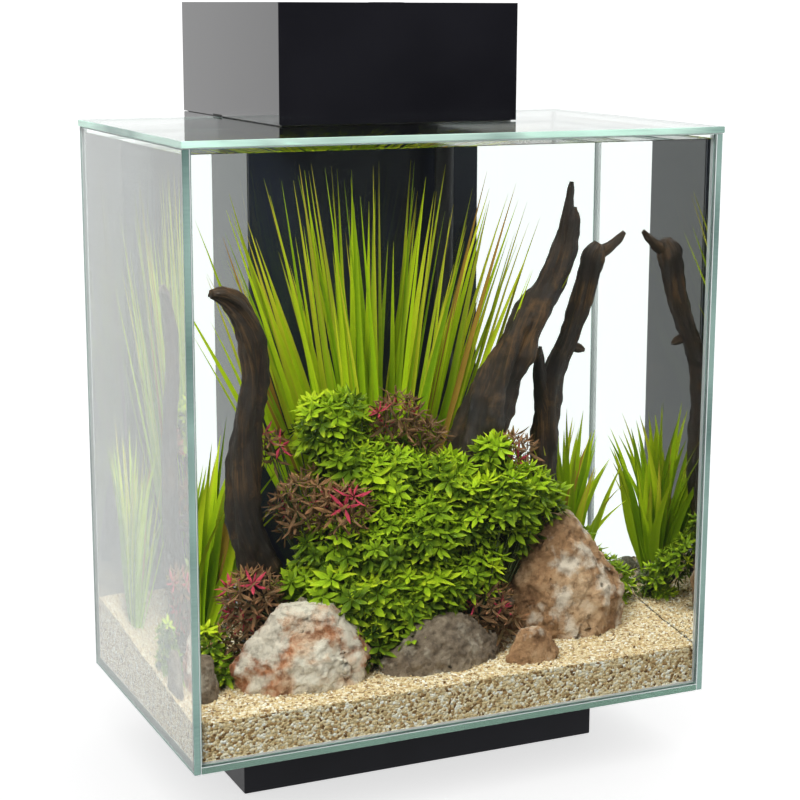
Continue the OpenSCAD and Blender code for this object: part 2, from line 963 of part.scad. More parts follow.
base_mat();
plinth();
tank_pad();
bottom_pane();
front_pane();
back_pane();
left_pane();
right_pane();
glass_top();
silicone_seams();
back_panel();
hood_frame();
hood_shell();
hinge_pins();
hood_bumpers();
touch_pad();
lamp_housing();
lamp_brackets();
lamp_screws();
led_board();
leds();
lamp_lens();
rear_cover();
cable_grommet();
filter_case();
filter_lid();
media_basket();
foam_block();
carbon_bag();
ceramic_rings();
intake_tube();
flow_lever();
strainer();
intake_sponge();
motor_housing();
impeller();
impeller_shaft();
gravel_bed();
rock_left();
rock_middle();
rock_right();
rock_small_right();
rock_small_left();
pebbles();
driftwood_left();
driftwood_tall();
driftwood_forked();
tall_grass();
grass_right();
grass_left();
leafy_bush();
leafy_bush_right();
sprigs();
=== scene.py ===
"""A planted glass aquarium on a low plinth, with its lamp hood, filter column and filter.

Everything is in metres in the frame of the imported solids. Hard parts are copies of their solids
with rounded edges, and the planting, stones, wood, gravel and water are modelled here.
"""
import logging
import math
import random
from dataclasses import dataclass, field
from enum import Enum

import bpy
from mathutils import Matrix, Vector, noise


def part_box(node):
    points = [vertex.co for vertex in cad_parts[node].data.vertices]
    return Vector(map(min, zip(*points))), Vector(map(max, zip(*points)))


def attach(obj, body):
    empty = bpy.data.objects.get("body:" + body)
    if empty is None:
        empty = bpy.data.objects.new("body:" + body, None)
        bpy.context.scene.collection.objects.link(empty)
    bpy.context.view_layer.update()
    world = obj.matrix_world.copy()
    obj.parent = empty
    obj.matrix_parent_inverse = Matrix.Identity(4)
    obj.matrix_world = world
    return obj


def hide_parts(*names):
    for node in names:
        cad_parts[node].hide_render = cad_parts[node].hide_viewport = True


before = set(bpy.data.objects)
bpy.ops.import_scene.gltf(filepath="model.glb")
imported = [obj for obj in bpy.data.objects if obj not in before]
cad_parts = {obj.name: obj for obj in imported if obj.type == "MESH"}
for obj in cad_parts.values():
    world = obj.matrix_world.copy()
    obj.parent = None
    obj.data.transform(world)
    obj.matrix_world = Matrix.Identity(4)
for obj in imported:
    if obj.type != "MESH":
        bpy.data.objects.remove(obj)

LOG = logging.getLogger("aquarium")
MM = 0.001
UP = Vector((0, 0, 1))
Colour = tuple[float, float, float]
Place = tuple[float, float, float]
Socket = bpy.types.NodeSocket
Piece = bpy.types.Object


# ------------------------------------------------------------------ modelling helpers


def mm(*values: float) -> tuple[float, ...]:
    """Turn millimetres into metres."""
    return tuple(value * MM for value in values)


def select_only(*pieces: Piece) -> None:
    """Leave just these pieces selected, the last one active."""
    bpy.ops.object.select_all(action="DESELECT")
    for piece in pieces:
        piece.select_set(True)
        bpy.context.view_layer.objects.active = piece


def apply_modifier(piece: Piece, kind: str, **settings: object) -> None:
    """Add a modifier with these settings and apply it."""
    modifier = piece.modifiers.new(kind.title(), kind)
    for key, value in settings.items():
        setattr(modifier, key, value)
    select_only(piece)
    bpy.ops.object.modifier_apply(modifier=modifier.name)


def bake_place(piece: Piece) -> None:
    """Put the piece's place, turn and scale into its mesh."""
    select_only(piece)
    bpy.ops.object.transform_apply(location=True, rotation=True, scale=True)


def new_piece(name: str, mesh: bpy.types.Mesh) -> Piece:
    """Put a mesh in the scene as a piece."""
    mesh.name = name
    piece = bpy.data.objects.new(name, mesh)
    bpy.context.scene.collection.objects.link(piece)
    return piece


def clean_copy(node: str, name: str) -> Piece:
    """Copy a solid into a new piece with joined corners and whole flat faces.

    Args:
        node: the solid to copy.
        name: the new piece's name.

    Returns:
        The new piece, without a finish.
    """
    piece = new_piece(name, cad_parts[node].data.copy())
    piece.data.materials.clear()
    select_only(piece)
    bpy.ops.mesh.customdata_custom_splitnormals_clear()
    bpy.ops.object.mode_set(mode="EDIT")
    bpy.ops.mesh.select_all(action="SELECT")
    bpy.ops.mesh.remove_doubles(threshold=0.002 * MM)
    bpy.ops.mesh.dissolve_limited(angle_limit=math.radians(0.3))
    bpy.ops.object.mode_set(mode="OBJECT")
    return piece


def rounded_copy(node: str, name: str, edge: float, segments: int = 2) -> Piece:
    """Copy a solid and round its sharp edges.

    Args:
        node: the solid to copy.
        name: the new piece's name.
        edge: width of the rounding, in metres.
        segments: faces across the rounding.

    Returns:
        The new piece, without a finish.
    """
    piece = clean_copy(node, name)
    apply_modifier(
        piece,
        "BEVEL",
        width=edge,
        segments=segments,
        limit_method="ANGLE",
        angle_limit=math.radians(35),
        use_clamp_overlap=True,
        harden_normals=False,
    )
    select_only(piece)
    bpy.ops.object.shade_smooth_by_angle(angle=math.radians(40))
    # Large flat faces keep their own direction, so that only the narrow rounding is shaded round.
    apply_modifier(piece, "WEIGHTED_NORMAL", keep_sharp=True, weight=100)
    return piece


def scatter_mesh(
    name: str,
    corners: list[Vector],
    faces: list[tuple[int, ...]],
    turns: list[Matrix],
    values: dict[str, list[list[float]]],
) -> Piece:
    """Join many copies of one small shape in a single piece.

    Args:
        name: the piece's name.
        corners: the shape's corners.
        faces: the shape's faces, as indices of corners.
        turns: one placing matrix per copy.
        values: named numbers for each copy's corners, one list per copy.

    Returns:
        The new piece, without a finish.
    """
    points, polygons = [], []
    for turn in turns:
        first = len(points)
        points.extend((turn @ corner)[:] for corner in corners)
        polygons.extend(tuple(first + index for index in face) for face in faces)
    mesh = bpy.data.meshes.new(name)
    mesh.from_pydata(points, [], polygons)
    for key, lists in values.items():
        layer = mesh.attributes.new(key, "FLOAT", "POINT")
        layer.data.foreach_set("value", [number for one in lists for number in one])
    mesh.validate()
    piece = new_piece(name, mesh)
    select_only(piece)
    return piece


# ------------------------------------------------------------------ finishes


class NodeSheet:
    """The shader nodes of one material, with short calls that add and wire them."""

    def __init__(self, name: str) -> None:
        """Start an empty sheet for a material of this name."""
        self.material = bpy.data.materials.new(name)
        self.material.use_nodes = True
        self.tree = self.material.node_tree
        self.tree.nodes.clear()

    def add(
        self, kind: str, inputs: dict[str | int, object] | None = None, **settings: object
    ) -> bpy.types.Node:
        """Add a node, set it and wire its inputs.

        Args:
            kind: the node type's name without its usual beginning.
            inputs: sockets or plain values, by socket name or number.
            settings: the node's own settings.

        Returns:
            The new node.
        """
        node = self.tree.nodes.new("ShaderNode" + kind)
        for key, value in settings.items():
            setattr(node, key, value)
        for key, value in (inputs or {}).items():
            if isinstance(value, Socket):
                self.tree.links.new(value, node.inputs[key])
            elif isinstance(value, tuple) and len(value) == 3 and node.inputs[key].type == "RGBA":
                node.inputs[key].default_value = (*value, 1)
            else:
                node.inputs[key].default_value = value
        return node

    def place(self) -> Socket:
        """Object coordinates."""
        return self.add("TexCoord").outputs["Object"]

    def attribute(self, name: str) -> Socket:
        """A number that the mesh carries at each corner."""
        return self.add("Attribute", attribute_name=name).outputs["Fac"]

    def noise(self, where: Socket, scale: float, detail: float = 4, rough: float = 0.55) -> Socket:
        """Soft noise from 0 to 1."""
        inputs = {"Vector": where, "Scale": scale, "Detail": detail, "Roughness": rough}
        return self.add("TexNoise", inputs).outputs[0]

    def stretched(self, where: Socket, stretch: Place) -> Socket:
        """Coordinates scaled by a different amount along each axis."""
        return self.add("Mapping", {"Vector": where, "Scale": stretch}).outputs[0]

    def span(self, value: Socket, low: float, high: float) -> Socket:
        """A number from 0 to 1 moved to the range from low to high."""
        return self.add("MapRange", {"Value": value, "To Min": low, "To Max": high}).outputs[0]

    def ramp(self, value: Socket, stops: list[tuple[float, Colour]]) -> Socket:
        """Colours along a number from 0 to 1."""
        node = self.add("ValToRGB", {"Fac": value})
        elements = node.color_ramp.elements
        elements[0].position = stops[0][0]
        elements[0].color = (*stops[0][1], 1)
        elements[1].position = stops[-1][0]
        elements[1].color = (*stops[-1][1], 1)
        for position, colour in stops[1:-1]:
            elements.new(position).color = (*colour, 1)
        return node.outputs["Color"]

    def mix(self, share: Socket, first: Socket | Colour, second: Socket | Colour) -> Socket:
        """Two colours mixed by a share from 0 to 1."""
        inputs = {0: share, 6: first, 7: second}
        return self.add("Mix", inputs, data_type="RGBA").outputs[2]

    def math(self, operation: str, first: Socket, second: Socket | float) -> Socket:
        """One sum of two numbers."""
        return self.add("Math", {0: first, 1: second}, operation=operation).outputs[0]

    def bump(self, height: Socket, depth: float, strength: float = 1.0) -> Socket:
        """A surface normal raised by a height, depth in metres."""
        inputs = {"Height": height, "Distance": depth, "Strength": strength}
        return self.add("Bump", inputs).outputs["Normal"]

    def surface(self, inputs: dict[str | int, object]) -> Socket:
        """The usual shader for solid surfaces."""
        return self.add("BsdfPrincipled", inputs).outputs[0]

    def finish(self, shader: Socket) -> None:
        """Wire the shader to the output."""
        self.tree.links.new(shader, self.add("OutputMaterial").inputs["Surface"])


@dataclass(frozen=True)
class Finish:
    """A named surface finish, made once."""

    name: str

    def material(self) -> bpy.types.Material:
        """The finish's material, made on first use.

        The solids come with plain materials of their own, some with the same name as a finish,
        so that a finish's material has a name that none of them can have.
        """
        name = "finish_" + self.name
        found = bpy.data.materials.get(name)
        if found:
            return found
        sheet = NodeSheet(name)
        sheet.finish(self.shader(sheet))
        return sheet.material

    def shader(self, sheet: NodeSheet) -> Socket:
        """Draw the finish on the sheet and return its shader."""
        raise NotImplementedError


@dataclass(frozen=True)
class Moulded(Finish):
    """Moulded plastic or rubber: a fine mould grain, slight mottling and uneven gloss."""

    colour: Colour
    roughness: float
    coat: float = 0.0
    grain: float = 0.5 * MM
    depth: float = 0.01 * MM
    specular: float = 0.5

    def shader(self, sheet: NodeSheet) -> Socket:
        """Draw the finish on the sheet and return its shader."""
        where = sheet.place()
        mottle = sheet.noise(where, 14, 3)
        darker = tuple(channel * 0.86 for channel in self.colour)
        lighter = tuple(min(1.0, channel * 1.14 + 0.001) for channel in self.colour)
        grain = sheet.noise(where, 1 / self.grain, 2)
        wear = sheet.noise(where, 45, 5, 0.7)
        return sheet.surface(
            {
                "Base Color": sheet.ramp(mottle, [(0.3, darker), (0.7, lighter)]),
                "Roughness": sheet.span(wear, self.roughness * 0.75, self.roughness * 1.3),
                "Specular IOR Level": self.specular,
                "Coat Weight": self.coat,
                "Coat Roughness": 0.04,
                "Normal": sheet.bump(grain, self.depth, 0.5),
            }
        )


@dataclass(frozen=True)
class Metal(Finish):
    """Drawn or turned metal with fine lines along one axis."""

    colour: Colour
    roughness: float

    def shader(self, sheet: NodeSheet) -> Socket:
        """Draw the finish on the sheet and return its shader."""
        lines = sheet.noise(sheet.stretched(sheet.place(), (60, 900, 900)), 1.5, 3)
        return sheet.surface(
            {
                "Base Color": sheet.ramp(
                    lines, [(0.3, tuple(c * 0.8 for c in self.colour)), (0.7, self.colour)]
                ),
                "Metallic": 1.0,
                "Roughness": sheet.span(lines, self.roughness * 0.7, self.roughness * 1.4),
                "Normal": sheet.bump(lines, 0.01 * MM, 0.4),
            }
        )


@dataclass(frozen=True)
class Clear(Finish):
    """Clear glass, plastic or water that lets light through to what it holds."""

    tint: Colour
    ior: float
    roughness: float = 0.0
    ripple: float = 0.0

    def shader(self, sheet: NodeSheet) -> Socket:
        """Draw the finish on the sheet and return its shader."""
        inputs = {"Color": self.tint, "Roughness": self.roughness, "IOR": self.ior}
        if self.ripple:
            waves = sheet.noise(sheet.place(), 9, 2)
            inputs["Normal"] = sheet.bump(waves, self.ripple, 0.4)
        glass = sheet.add("BsdfGlass", inputs)
        open_side = sheet.add("BsdfTransparent", {"Color": self.tint})
        share = sheet.add("LightPath").outputs["Is Shadow Ray"]
        both = {0: share, 1: glass.outputs[0], 2: open_side.outputs[0]}
        return sheet.add("MixShader", both).outputs[0]


@dataclass(frozen=True)
class GlassEdge(Finish):
    """The polished edge of a pane: green glass seen end on, brighter and darker in stretches."""

    deep: Colour
    bright: Colour
    stretch: float = 9.0
    body_share: tuple[float, float] = (0.75, 0.3)

    def shader(self, sheet: NodeSheet) -> Socket:
        """Draw the finish on the sheet and return its shader."""
        where = sheet.place()
        stretches = sheet.noise(where, self.stretch, 2, 0.4)
        streaks = sheet.noise(sheet.stretched(where, (12, 12, 300)), 2, 2)
        patches = sheet.math("ADD", stretches, sheet.math("MULTIPLY", streaks, 0.12))
        colour = sheet.ramp(patches, [(0.40, self.deep), (0.62, self.bright)])
        body = sheet.surface(
            {
                "Base Color": colour,
                "Roughness": sheet.span(streaks, 0.08, 0.22),
                "Coat Weight": 0.6,
                "Coat Roughness": 0.03,
            }
        )
        clear = sheet.add("BsdfGlass", {"Color": colour, "Roughness": 0.02, "IOR": 1.5})
        share = sheet.span(stretches, *self.body_share)
        return sheet.add("MixShader", {0: share, 1: clear.outputs[0], 2: body}).outputs[0]


@dataclass(frozen=True)
class Silicone(Finish):
    """Cured clear sealant: milky, slightly wavy."""

    colour: Colour

    def shader(self, sheet: NodeSheet) -> Socket:
        """Draw the finish on the sheet and return its shader."""
        waves = sheet.noise(sheet.place(), 160, 3)
        body = sheet.surface(
            {
                "Base Color": sheet.ramp(
                    waves, [(0.3, tuple(c * 0.9 for c in self.colour)), (0.7, self.colour)]
                ),
                "Roughness": sheet.span(waves, 0.25, 0.45),
                "Normal": sheet.bump(waves, 0.2 * MM, 0.5),
            }
        )
        through = sheet.add("BsdfTransparent", {"Color": (0.95, 0.97, 0.96)})
        share = sheet.span(waves, 0.45, 0.6)
        return sheet.add("MixShader", {0: share, 1: body, 2: through.outputs[0]}).outputs[0]


@dataclass(frozen=True)
class Grains(Finish):
    """Washed gravel: each grain has its own colour, with specks and a rough skin."""

    stops: tuple[tuple[float, Colour], ...]
    speck: float = 0.6 * MM
    cells: float = 0.0

    def shader(self, sheet: NodeSheet) -> Socket:
        """Draw the finish on the sheet and return its shader."""
        where = sheet.place()
        if self.cells:
            cell = sheet.add("TexVoronoi", {"Vector": where, "Scale": 1 / self.cells})
            tone = sheet.add("SeparateColor", {0: cell.outputs["Color"]}).outputs[0]
            height = sheet.math("MULTIPLY", cell.outputs["Distance"], -1.0)
            normal = sheet.bump(height, self.cells * 0.6, 0.8)
        else:
            tone = sheet.attribute("tone")
            normal = sheet.bump(sheet.noise(where, 900, 3), 0.2 * MM, 0.6)
        specks = sheet.noise(where, 1 / self.speck, 3, 0.7)
        shifted = sheet.math("ADD", tone, sheet.math("MULTIPLY", sheet.span(specks, -1, 1), 0.1))
        return sheet.surface(
            {
                "Base Color": sheet.ramp(shifted, list(self.stops)),
                "Roughness": sheet.span(specks, 0.45, 0.8),
                "Normal": normal,
            }
        )


@dataclass(frozen=True)
class Stone(Finish):
    """Weathered rock: broad patches of colours, veins, pits with painted shade in them, and a skin of fine
    grit.
    """

    patches: tuple[tuple[float, Colour], ...]
    vein: Colour
    scale: float = 16
    vein_share: float = 0.5

    def shader(self, sheet: NodeSheet) -> Socket:
        """Draw the finish on the sheet and return its shader."""
        where = sheet.place()
        broad = sheet.noise(where, self.scale, 6, 0.62)
        fine = sheet.noise(where, self.scale * 9, 6, 0.7)
        grit = sheet.noise(where, 700, 3, 0.7)
        cracks = sheet.add(
            "TexVoronoi",
            {"Vector": where, "Scale": self.scale * 1.7},
            feature="DISTANCE_TO_EDGE",
        ).outputs["Distance"]
        tone = sheet.math("ADD", broad, sheet.math("MULTIPLY", sheet.span(fine, -1, 1), 0.22))
        base = sheet.ramp(tone, list(self.patches))
        vein_noise = sheet.noise(where, self.scale * 2.3, 5, 0.6)
        edge = self.vein_share + 0.10
        vein_share = sheet.ramp(vein_noise, [(self.vein_share, (0, 0, 0)), (edge, (0.85, 0.85, 0.85))])
        veined = sheet.mix(vein_share, base, self.vein)
        # Painted shade in the pits: the colour darkens where the fine noise is low, the same noise that
        # sinks the bump.
        pit_shade = sheet.ramp(fine, [(0.28, (0.25, 0.21, 0.18)), (0.5, (1, 1, 1))])
        pit_shaded = sheet.add(
            "Mix", {0: 0.75, 6: veined, 7: pit_shade}, data_type="RGBA", blend_type="MULTIPLY"
        ).outputs[2]
        height = sheet.math(
            "ADD",
            sheet.math("MULTIPLY", fine, 1.0),
            sheet.math("ADD", sheet.math("MULTIPLY", grit, 0.35), sheet.span(cracks, 0, 0.5)),
        )
        return sheet.surface(
            {
                "Base Color": pit_shaded,
                "Roughness": sheet.span(fine, 0.6, 0.9),
                "Normal": sheet.bump(height, 2.6 * MM, 1.0),
            }
        )


@dataclass(frozen=True)
class Bark(Finish):
    """Waterlogged wood: streaks that follow the branch, the raised streaks painted paler as a highlight, and
    paler patches of wear at random.
    """

    dark: Colour
    mid: Colour
    wear_and_highlight: Colour

    def shader(self, sheet: NodeSheet) -> Socket:
        """Draw the finish on the sheet and return its shader."""
        along = sheet.add("Attribute", attribute_name="grain").outputs["Vector"]
        streaks = sheet.noise(along, 230, 6, 0.65)
        broad = sheet.noise(sheet.place(), 26, 4)
        wear_and_highlight = sheet.noise(sheet.place(), 48, 5, 0.7)
        tone = sheet.math("ADD", streaks, sheet.math("MULTIPLY", sheet.span(broad, -1, 1), 0.35))
        # Painted highlight: the streaks that the bump raises take the pale colour at the top of this ramp.
        base = sheet.ramp(tone, [(0.32, self.dark), (0.55, self.mid), (0.8, self.wear_and_highlight)])
        # The same pale colour also lies in random patches of wear.
        patches = sheet.ramp(wear_and_highlight, [(0.56, (0, 0, 0)), (0.75, (0.7, 0.7, 0.7))])
        return sheet.surface(
            {
                "Base Color": sheet.mix(patches, base, self.wear_and_highlight),
                "Roughness": sheet.span(streaks, 0.5, 0.85),
                "Normal": sheet.bump(streaks, 1.6 * MM, 0.9),
            }
        )


@dataclass(frozen=True)
class Foliage(Finish):
    """Plant leaves: a tone for each leaf, paler tips, darker bases, and blushed leaves."""

    shades: tuple[tuple[float, Colour], ...]
    blush: Colour
    tip: Colour
    tip_from: float = 0.55
    gloss: float = 0.42

    def shader(self, sheet: NodeSheet) -> Socket:
        """Draw the finish on the sheet and return its shader."""
        where = sheet.place()
        # On the bushes this tone also carries painted light: heads high on their mound are lighter, low ones
        # darker.
        tone = sheet.attribute("tone")
        along = sheet.attribute("along")
        specks = sheet.noise(where, 320, 3)
        shade = sheet.math("ADD", tone, sheet.math("MULTIPLY", sheet.span(specks, -1, 1), 0.08))
        base = sheet.ramp(shade, list(self.shades))
        tips = sheet.math(
            "MULTIPLY",
            sheet.ramp(along, [(self.tip_from, (0, 0, 0)), (1.0, (1, 1, 1))]),
            sheet.attribute("ripe"),
        )
        tipped = sheet.mix(tips, base, self.tip)
        blushed = sheet.mix(sheet.attribute("blush"), tipped, self.blush)
        ribs = sheet.noise(where, 1100, 2)
        leaf = sheet.surface(
            {
                "Base Color": blushed,
                "Roughness": sheet.span(specks, self.gloss * 0.8, self.gloss * 1.3),
                "Specular IOR Level": 0.25,
                "Normal": sheet.bump(ribs, 0.15 * MM, 0.4),
            }
        )
        glow = sheet.add("BsdfTranslucent", {"Color": blushed}).outputs[0]
        return sheet.add("MixShader", {0: 0.2, 1: leaf, 2: glow}).outputs[0]


@dataclass(frozen=True)
class OpenFoam(Finish):
    """Filter foam or a bag of granules: paler walls with painted shade in the pores between them."""

    wall: Colour
    pore_shade: Colour
    cell: float

    def shader(self, sheet: NodeSheet) -> Socket:
        """Draw the finish on the sheet and return its shader."""
        where = sheet.place()
        cells = sheet.add("TexVoronoi", {"Vector": where, "Scale": 1 / self.cell})
        distance = cells.outputs["Distance"]
        uneven = sheet.noise(where, 60, 4)
        return sheet.surface(
            {
                # Painted shade: the pores between the walls are coloured darker.
                "Base Color": sheet.ramp(distance, [(0.15, self.pore_shade), (0.6, self.wall)]),
                "Roughness": sheet.span(uneven, 0.8, 1.0),
                "Normal": sheet.bump(distance, self.cell * 0.5, 0.9),
            }
        )


@dataclass(frozen=True)
class StudioPaper(Finish):
    """The pale seamless floor, lit a little from below, which mirrors see as dim."""

    colour: Colour
    glow: float = 0.66
    dim: float = 0.05

    def shader(self, sheet: NodeSheet) -> Socket:
        """Draw the finish on the sheet and return its shader."""
        fibre = sheet.noise(sheet.place(), 3, 3)
        shade = sheet.ramp(fibre, [(0.3, tuple(c * 0.995 for c in self.colour)), (0.7, self.colour)])
        paper = sheet.surface(
            {
                "Base Color": shade,
                "Roughness": 0.9,
                "Specular IOR Level": 0.1,
                "Emission Color": (1, 1, 1),
                "Emission Strength": self.glow,
            }
        )
        dim = sheet.add("Emission", {"Color": (1, 1, 1), "Strength": self.dim}).outputs[0]
        mirrors = sheet.add("LightPath").outputs["Glossy Depth"]
        spot = sheet.add("SeparateXYZ", {0: sheet.place()}).outputs["Y"]
        in_front = sheet.math("LESS_THAN", spot, -0.14)
        mirrored = sheet.math("MULTIPLY", sheet.math("GREATER_THAN", mirrors, 0.5), in_front)
        return sheet.add("MixShader", {0: mirrored, 1: paper, 2: dim}).outputs[0]


PLINTH_BLACK = Moulded("plinth_satin_black", (0.006, 0.0065, 0.010), 0.34, specular=0.22)
GLOSS_BLACK = Moulded("gloss_black", (0.006, 0.006, 0.008), 0.05, coat=0.5, depth=0.001 * MM)
PANEL_BLACK = Moulded("panel_black", (0.012, 0.014, 0.024), 0.30, depth=0.004 * MM)
FRAME_BLACK = Moulded("frame_black", (0.015, 0.015, 0.017), 0.38)
TOUCH_BLACK = Moulded("touch_ring", (0.02, 0.02, 0.024), 0.2, coat=0.4)
RUBBER = Moulded("soft_rubber", (0.02, 0.02, 0.02), 0.75, depth=0.05 * MM)
LAMP_WHITE = Moulded("lamp_plastic", (0.62, 0.62, 0.60), 0.35)
BOARD_WHITE = Moulded("board_solder_mask", (0.75, 0.76, 0.74), 0.3, coat=0.3)
DIODE_AMBER = Moulded("diode_amber", (0.85, 0.55, 0.12), 0.25, coat=0.5)
BASKET_GREY = Moulded("basket_grey", (0.10, 0.11, 0.12), 0.45)
TUBE_BLACK = Moulded("tube_black", (0.018, 0.018, 0.02), 0.32)
ROTOR_GREY = Moulded("rotor_grey", (0.08, 0.09, 0.10), 0.4)
LEVER_GREY = Moulded("lever_grey", (0.32, 0.33, 0.34), 0.4)
CERAMIC_WHITE = Moulded("ceramic_white", (0.82, 0.82, 0.80), 0.2, depth=0.003 * MM)
CERAMIC_CREAM = Moulded("ceramic_cream", (0.72, 0.64, 0.52), 0.85, depth=0.25 * MM)
PIN_STEEL = Metal("pin_steel", (0.62, 0.62, 0.64), 0.28)
# Water wets the inner side of each pane, so both free faces together mirror less than dry glass.
PANE_GLASS = Clear("pane_glass", (0.985, 0.997, 0.992), 1.3)
LENS_CLEAR = Clear("lens_clear", (0.97, 0.98, 0.98), 1.49, 0.08)
SMOKE_CLEAR = Clear("filter_smoke", (0.30, 0.32, 0.35), 1.49, 0.06)
WATER = Clear("tank_water", (0.992, 0.998, 0.996), 1.333)
# The green of all three edges is the glass's own; their different brightness is painted light, lighter on
# the deck and the floor pane than on the upright panes.
PANE_EDGE = GlassEdge("pane_edge", (0.12, 0.20, 0.18), (0.34, 0.50, 0.45))
LIT_DECK_EDGE = GlassEdge("deck_edge_painted_lit", (0.22, 0.34, 0.30), (0.60, 0.82, 0.72), 11)
LIT_FLOOR_EDGE = GlassEdge("floor_edge_painted_lit", (0.40, 0.62, 0.52), (0.55, 0.90, 0.72), 4.5, (0.30, 0.15))
SEALANT = Silicone("sealant", (0.80, 0.84, 0.84))
BASKET_FOAM = OpenFoam("coarse_foam", (0.05, 0.06, 0.08), (0.01, 0.01, 0.012), 1.4 * MM)
INTAKE_FOAM = OpenFoam("intake_foam", (0.035, 0.038, 0.045), (0.006, 0.006, 0.008), 1.2 * MM)
STAND_FOAM = OpenFoam("stand_foam", (0.03, 0.03, 0.032), (0.012, 0.012, 0.013), 0.5 * MM)
CARBON = OpenFoam("carbon_bag", (0.05, 0.05, 0.052), (0.006, 0.006, 0.007), 2.6 * MM)
GRAIN_STOPS = (
    (0.00, (0.12, 0.060, 0.022)),
    (0.12, (0.34, 0.20, 0.080)),
    (0.32, (0.55, 0.40, 0.20)),
    (0.62, (0.72, 0.57, 0.34)),
    (0.85, (0.80, 0.71, 0.52)),
    (1.00, (0.90, 0.87, 0.79)),
)
GRAVEL_GRAIN = Grains("gravel_grain", GRAIN_STOPS)
GRAVEL_BED = Grains("gravel_bed", GRAIN_STOPS, cells=2.0 * MM)
STONE_RED = Stone(
    "stone_red",
    ((0.30, (0.20, 0.07, 0.035)), (0.45, (0.45, 0.19, 0.09)), (0.55, (0.62, 0.42, 0.28)),
     (0.70, (0.72, 0.62, 0.48))),
    (0.74, 0.68, 0.56),
    15,
    0.46,
)
STONE_GREY = Stone(
    "stone_grey_brown",
    ((0.30, (0.075, 0.055, 0.04)), (0.5, (0.20, 0.15, 0.105)), (0.7, (0.36, 0.29, 0.21))),
    (0.42, 0.36, 0.28),
    18,
    0.56,
)
STONE_BROWN = Stone(
    "stone_brown",
    ((0.28, (0.16, 0.075, 0.035)), (0.45, (0.36, 0.20, 0.10)), (0.6, (0.55, 0.36, 0.21)),
     (0.75, (0.66, 0.52, 0.38))),
    (0.72, 0.62, 0.50),
    14,
    0.52,
)
PEBBLE = Stone(
    "pebble_grey_green",
    ((0.3, (0.14, 0.13, 0.09)), (0.6, (0.30, 0.28, 0.20)), (0.75, (0.42, 0.39, 0.29))),
    (0.45, 0.42, 0.34),
    40,
    0.6,
)
DRIFTWOOD = Bark("driftwood_bark", (0.004, 0.003, 0.0025), (0.020, 0.013, 0.008), (0.15, 0.080, 0.034))
GRASS = Foliage(
    "grass_blade",
    ((0.0, (0.12, 0.26, 0.004)), (0.4, (0.34, 0.56, 0.008)), (0.75, (0.60, 0.78, 0.014)),
     (1.0, (0.78, 0.80, 0.04))),
    (0.42, 0.22, 0.04),
    (0.62, 0.42, 0.07),
    0.5,
)
LEAF = Foliage(
    "leaf_green",
    ((0.0, (0.020, 0.045, 0.004)), (0.35, (0.110, 0.190, 0.009)), (0.7, (0.36, 0.54, 0.018)),
     (1.0, (0.66, 0.76, 0.030))),
    (0.30, 0.13, 0.075),
    (0.55, 0.66, 0.03),
    0.5,
)
RED_LEAF = Foliage(
    "leaf_red_brown",
    ((0.0, (0.070, 0.045, 0.018)), (0.5, (0.17, 0.095, 0.045)), (0.8, (0.30, 0.155, 0.07)),
     (1.0, (0.42, 0.36, 0.05))),
    (0.55, 0.06, 0.10),
    (0.45, 0.20, 0.10),
    0.5,
)
STEM = Moulded("plant_stem", (0.05, 0.07, 0.02), 0.6)
PAPER = StudioPaper("studio_paper", (0.93, 0.93, 0.93))


# ------------------------------------------------------------------ assemblies


class Body(Enum):
    """The bodies that pieces ride on."""

    TANK = "tank"
    HOOD = "hood"
    COLUMN = "column_cover"
    LID = "filter_lid"
    MEDIA = "media"
    LEVER = "flow_lever"


@dataclass
class Assembly:
    """Pieces that are built and dressed together."""

    title: str

    def fit(self, piece: Piece, body: Body, finish: Finish, slot: str, *nodes: str) -> Piece:
        """Dress a new piece, make it ride on its body and stand for its solids.

        Args:
            piece: the new piece, in place.
            body: the body that it rides on.
            finish: its finish.
            slot: not used.
            nodes: the solids that it replaces.

        Returns:
            The piece.
        """
        if not piece.data.materials:
            piece.data.materials.append(finish.material())
        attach(piece, body.value)
        if nodes:
            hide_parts(*nodes)
        LOG.info("%s: made %s", self.title, piece.name)
        return piece

    def round_off(
        self, node: str, body: Body, finish: Finish, slot: str, edge: float = 0.4 * MM
    ) -> Piece:
        """Replace a solid by a copy with rounded edges."""
        piece = rounded_copy(node, node + "_rounded", edge)
        return self.fit(piece, body, finish, slot, node)

    def dress(self, node: str, finish: Finish) -> None:
        """Give a solid that stays its finish."""
        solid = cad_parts[node]
        solid.data.materials.clear()
        solid.data.materials.append(finish.material())
        LOG.info("%s: dressed %s", self.title, node)


@dataclass
class Stand(Assembly):
    """The plinth with the mat under it and the foam pad on it."""

    title: str = "stand"
    edge: float = 1.2 * MM

    def build(self) -> None:
        """Make the three layers."""
        self.dress("base_mat", RUBBER)
        self.round_off("plinth", Body.TANK, PLINTH_BLACK, "plinth_black", self.edge)
        pad = self.round_off("tank_pad", Body.TANK, STAND_FOAM, "foam_pad", 0.3 * MM)


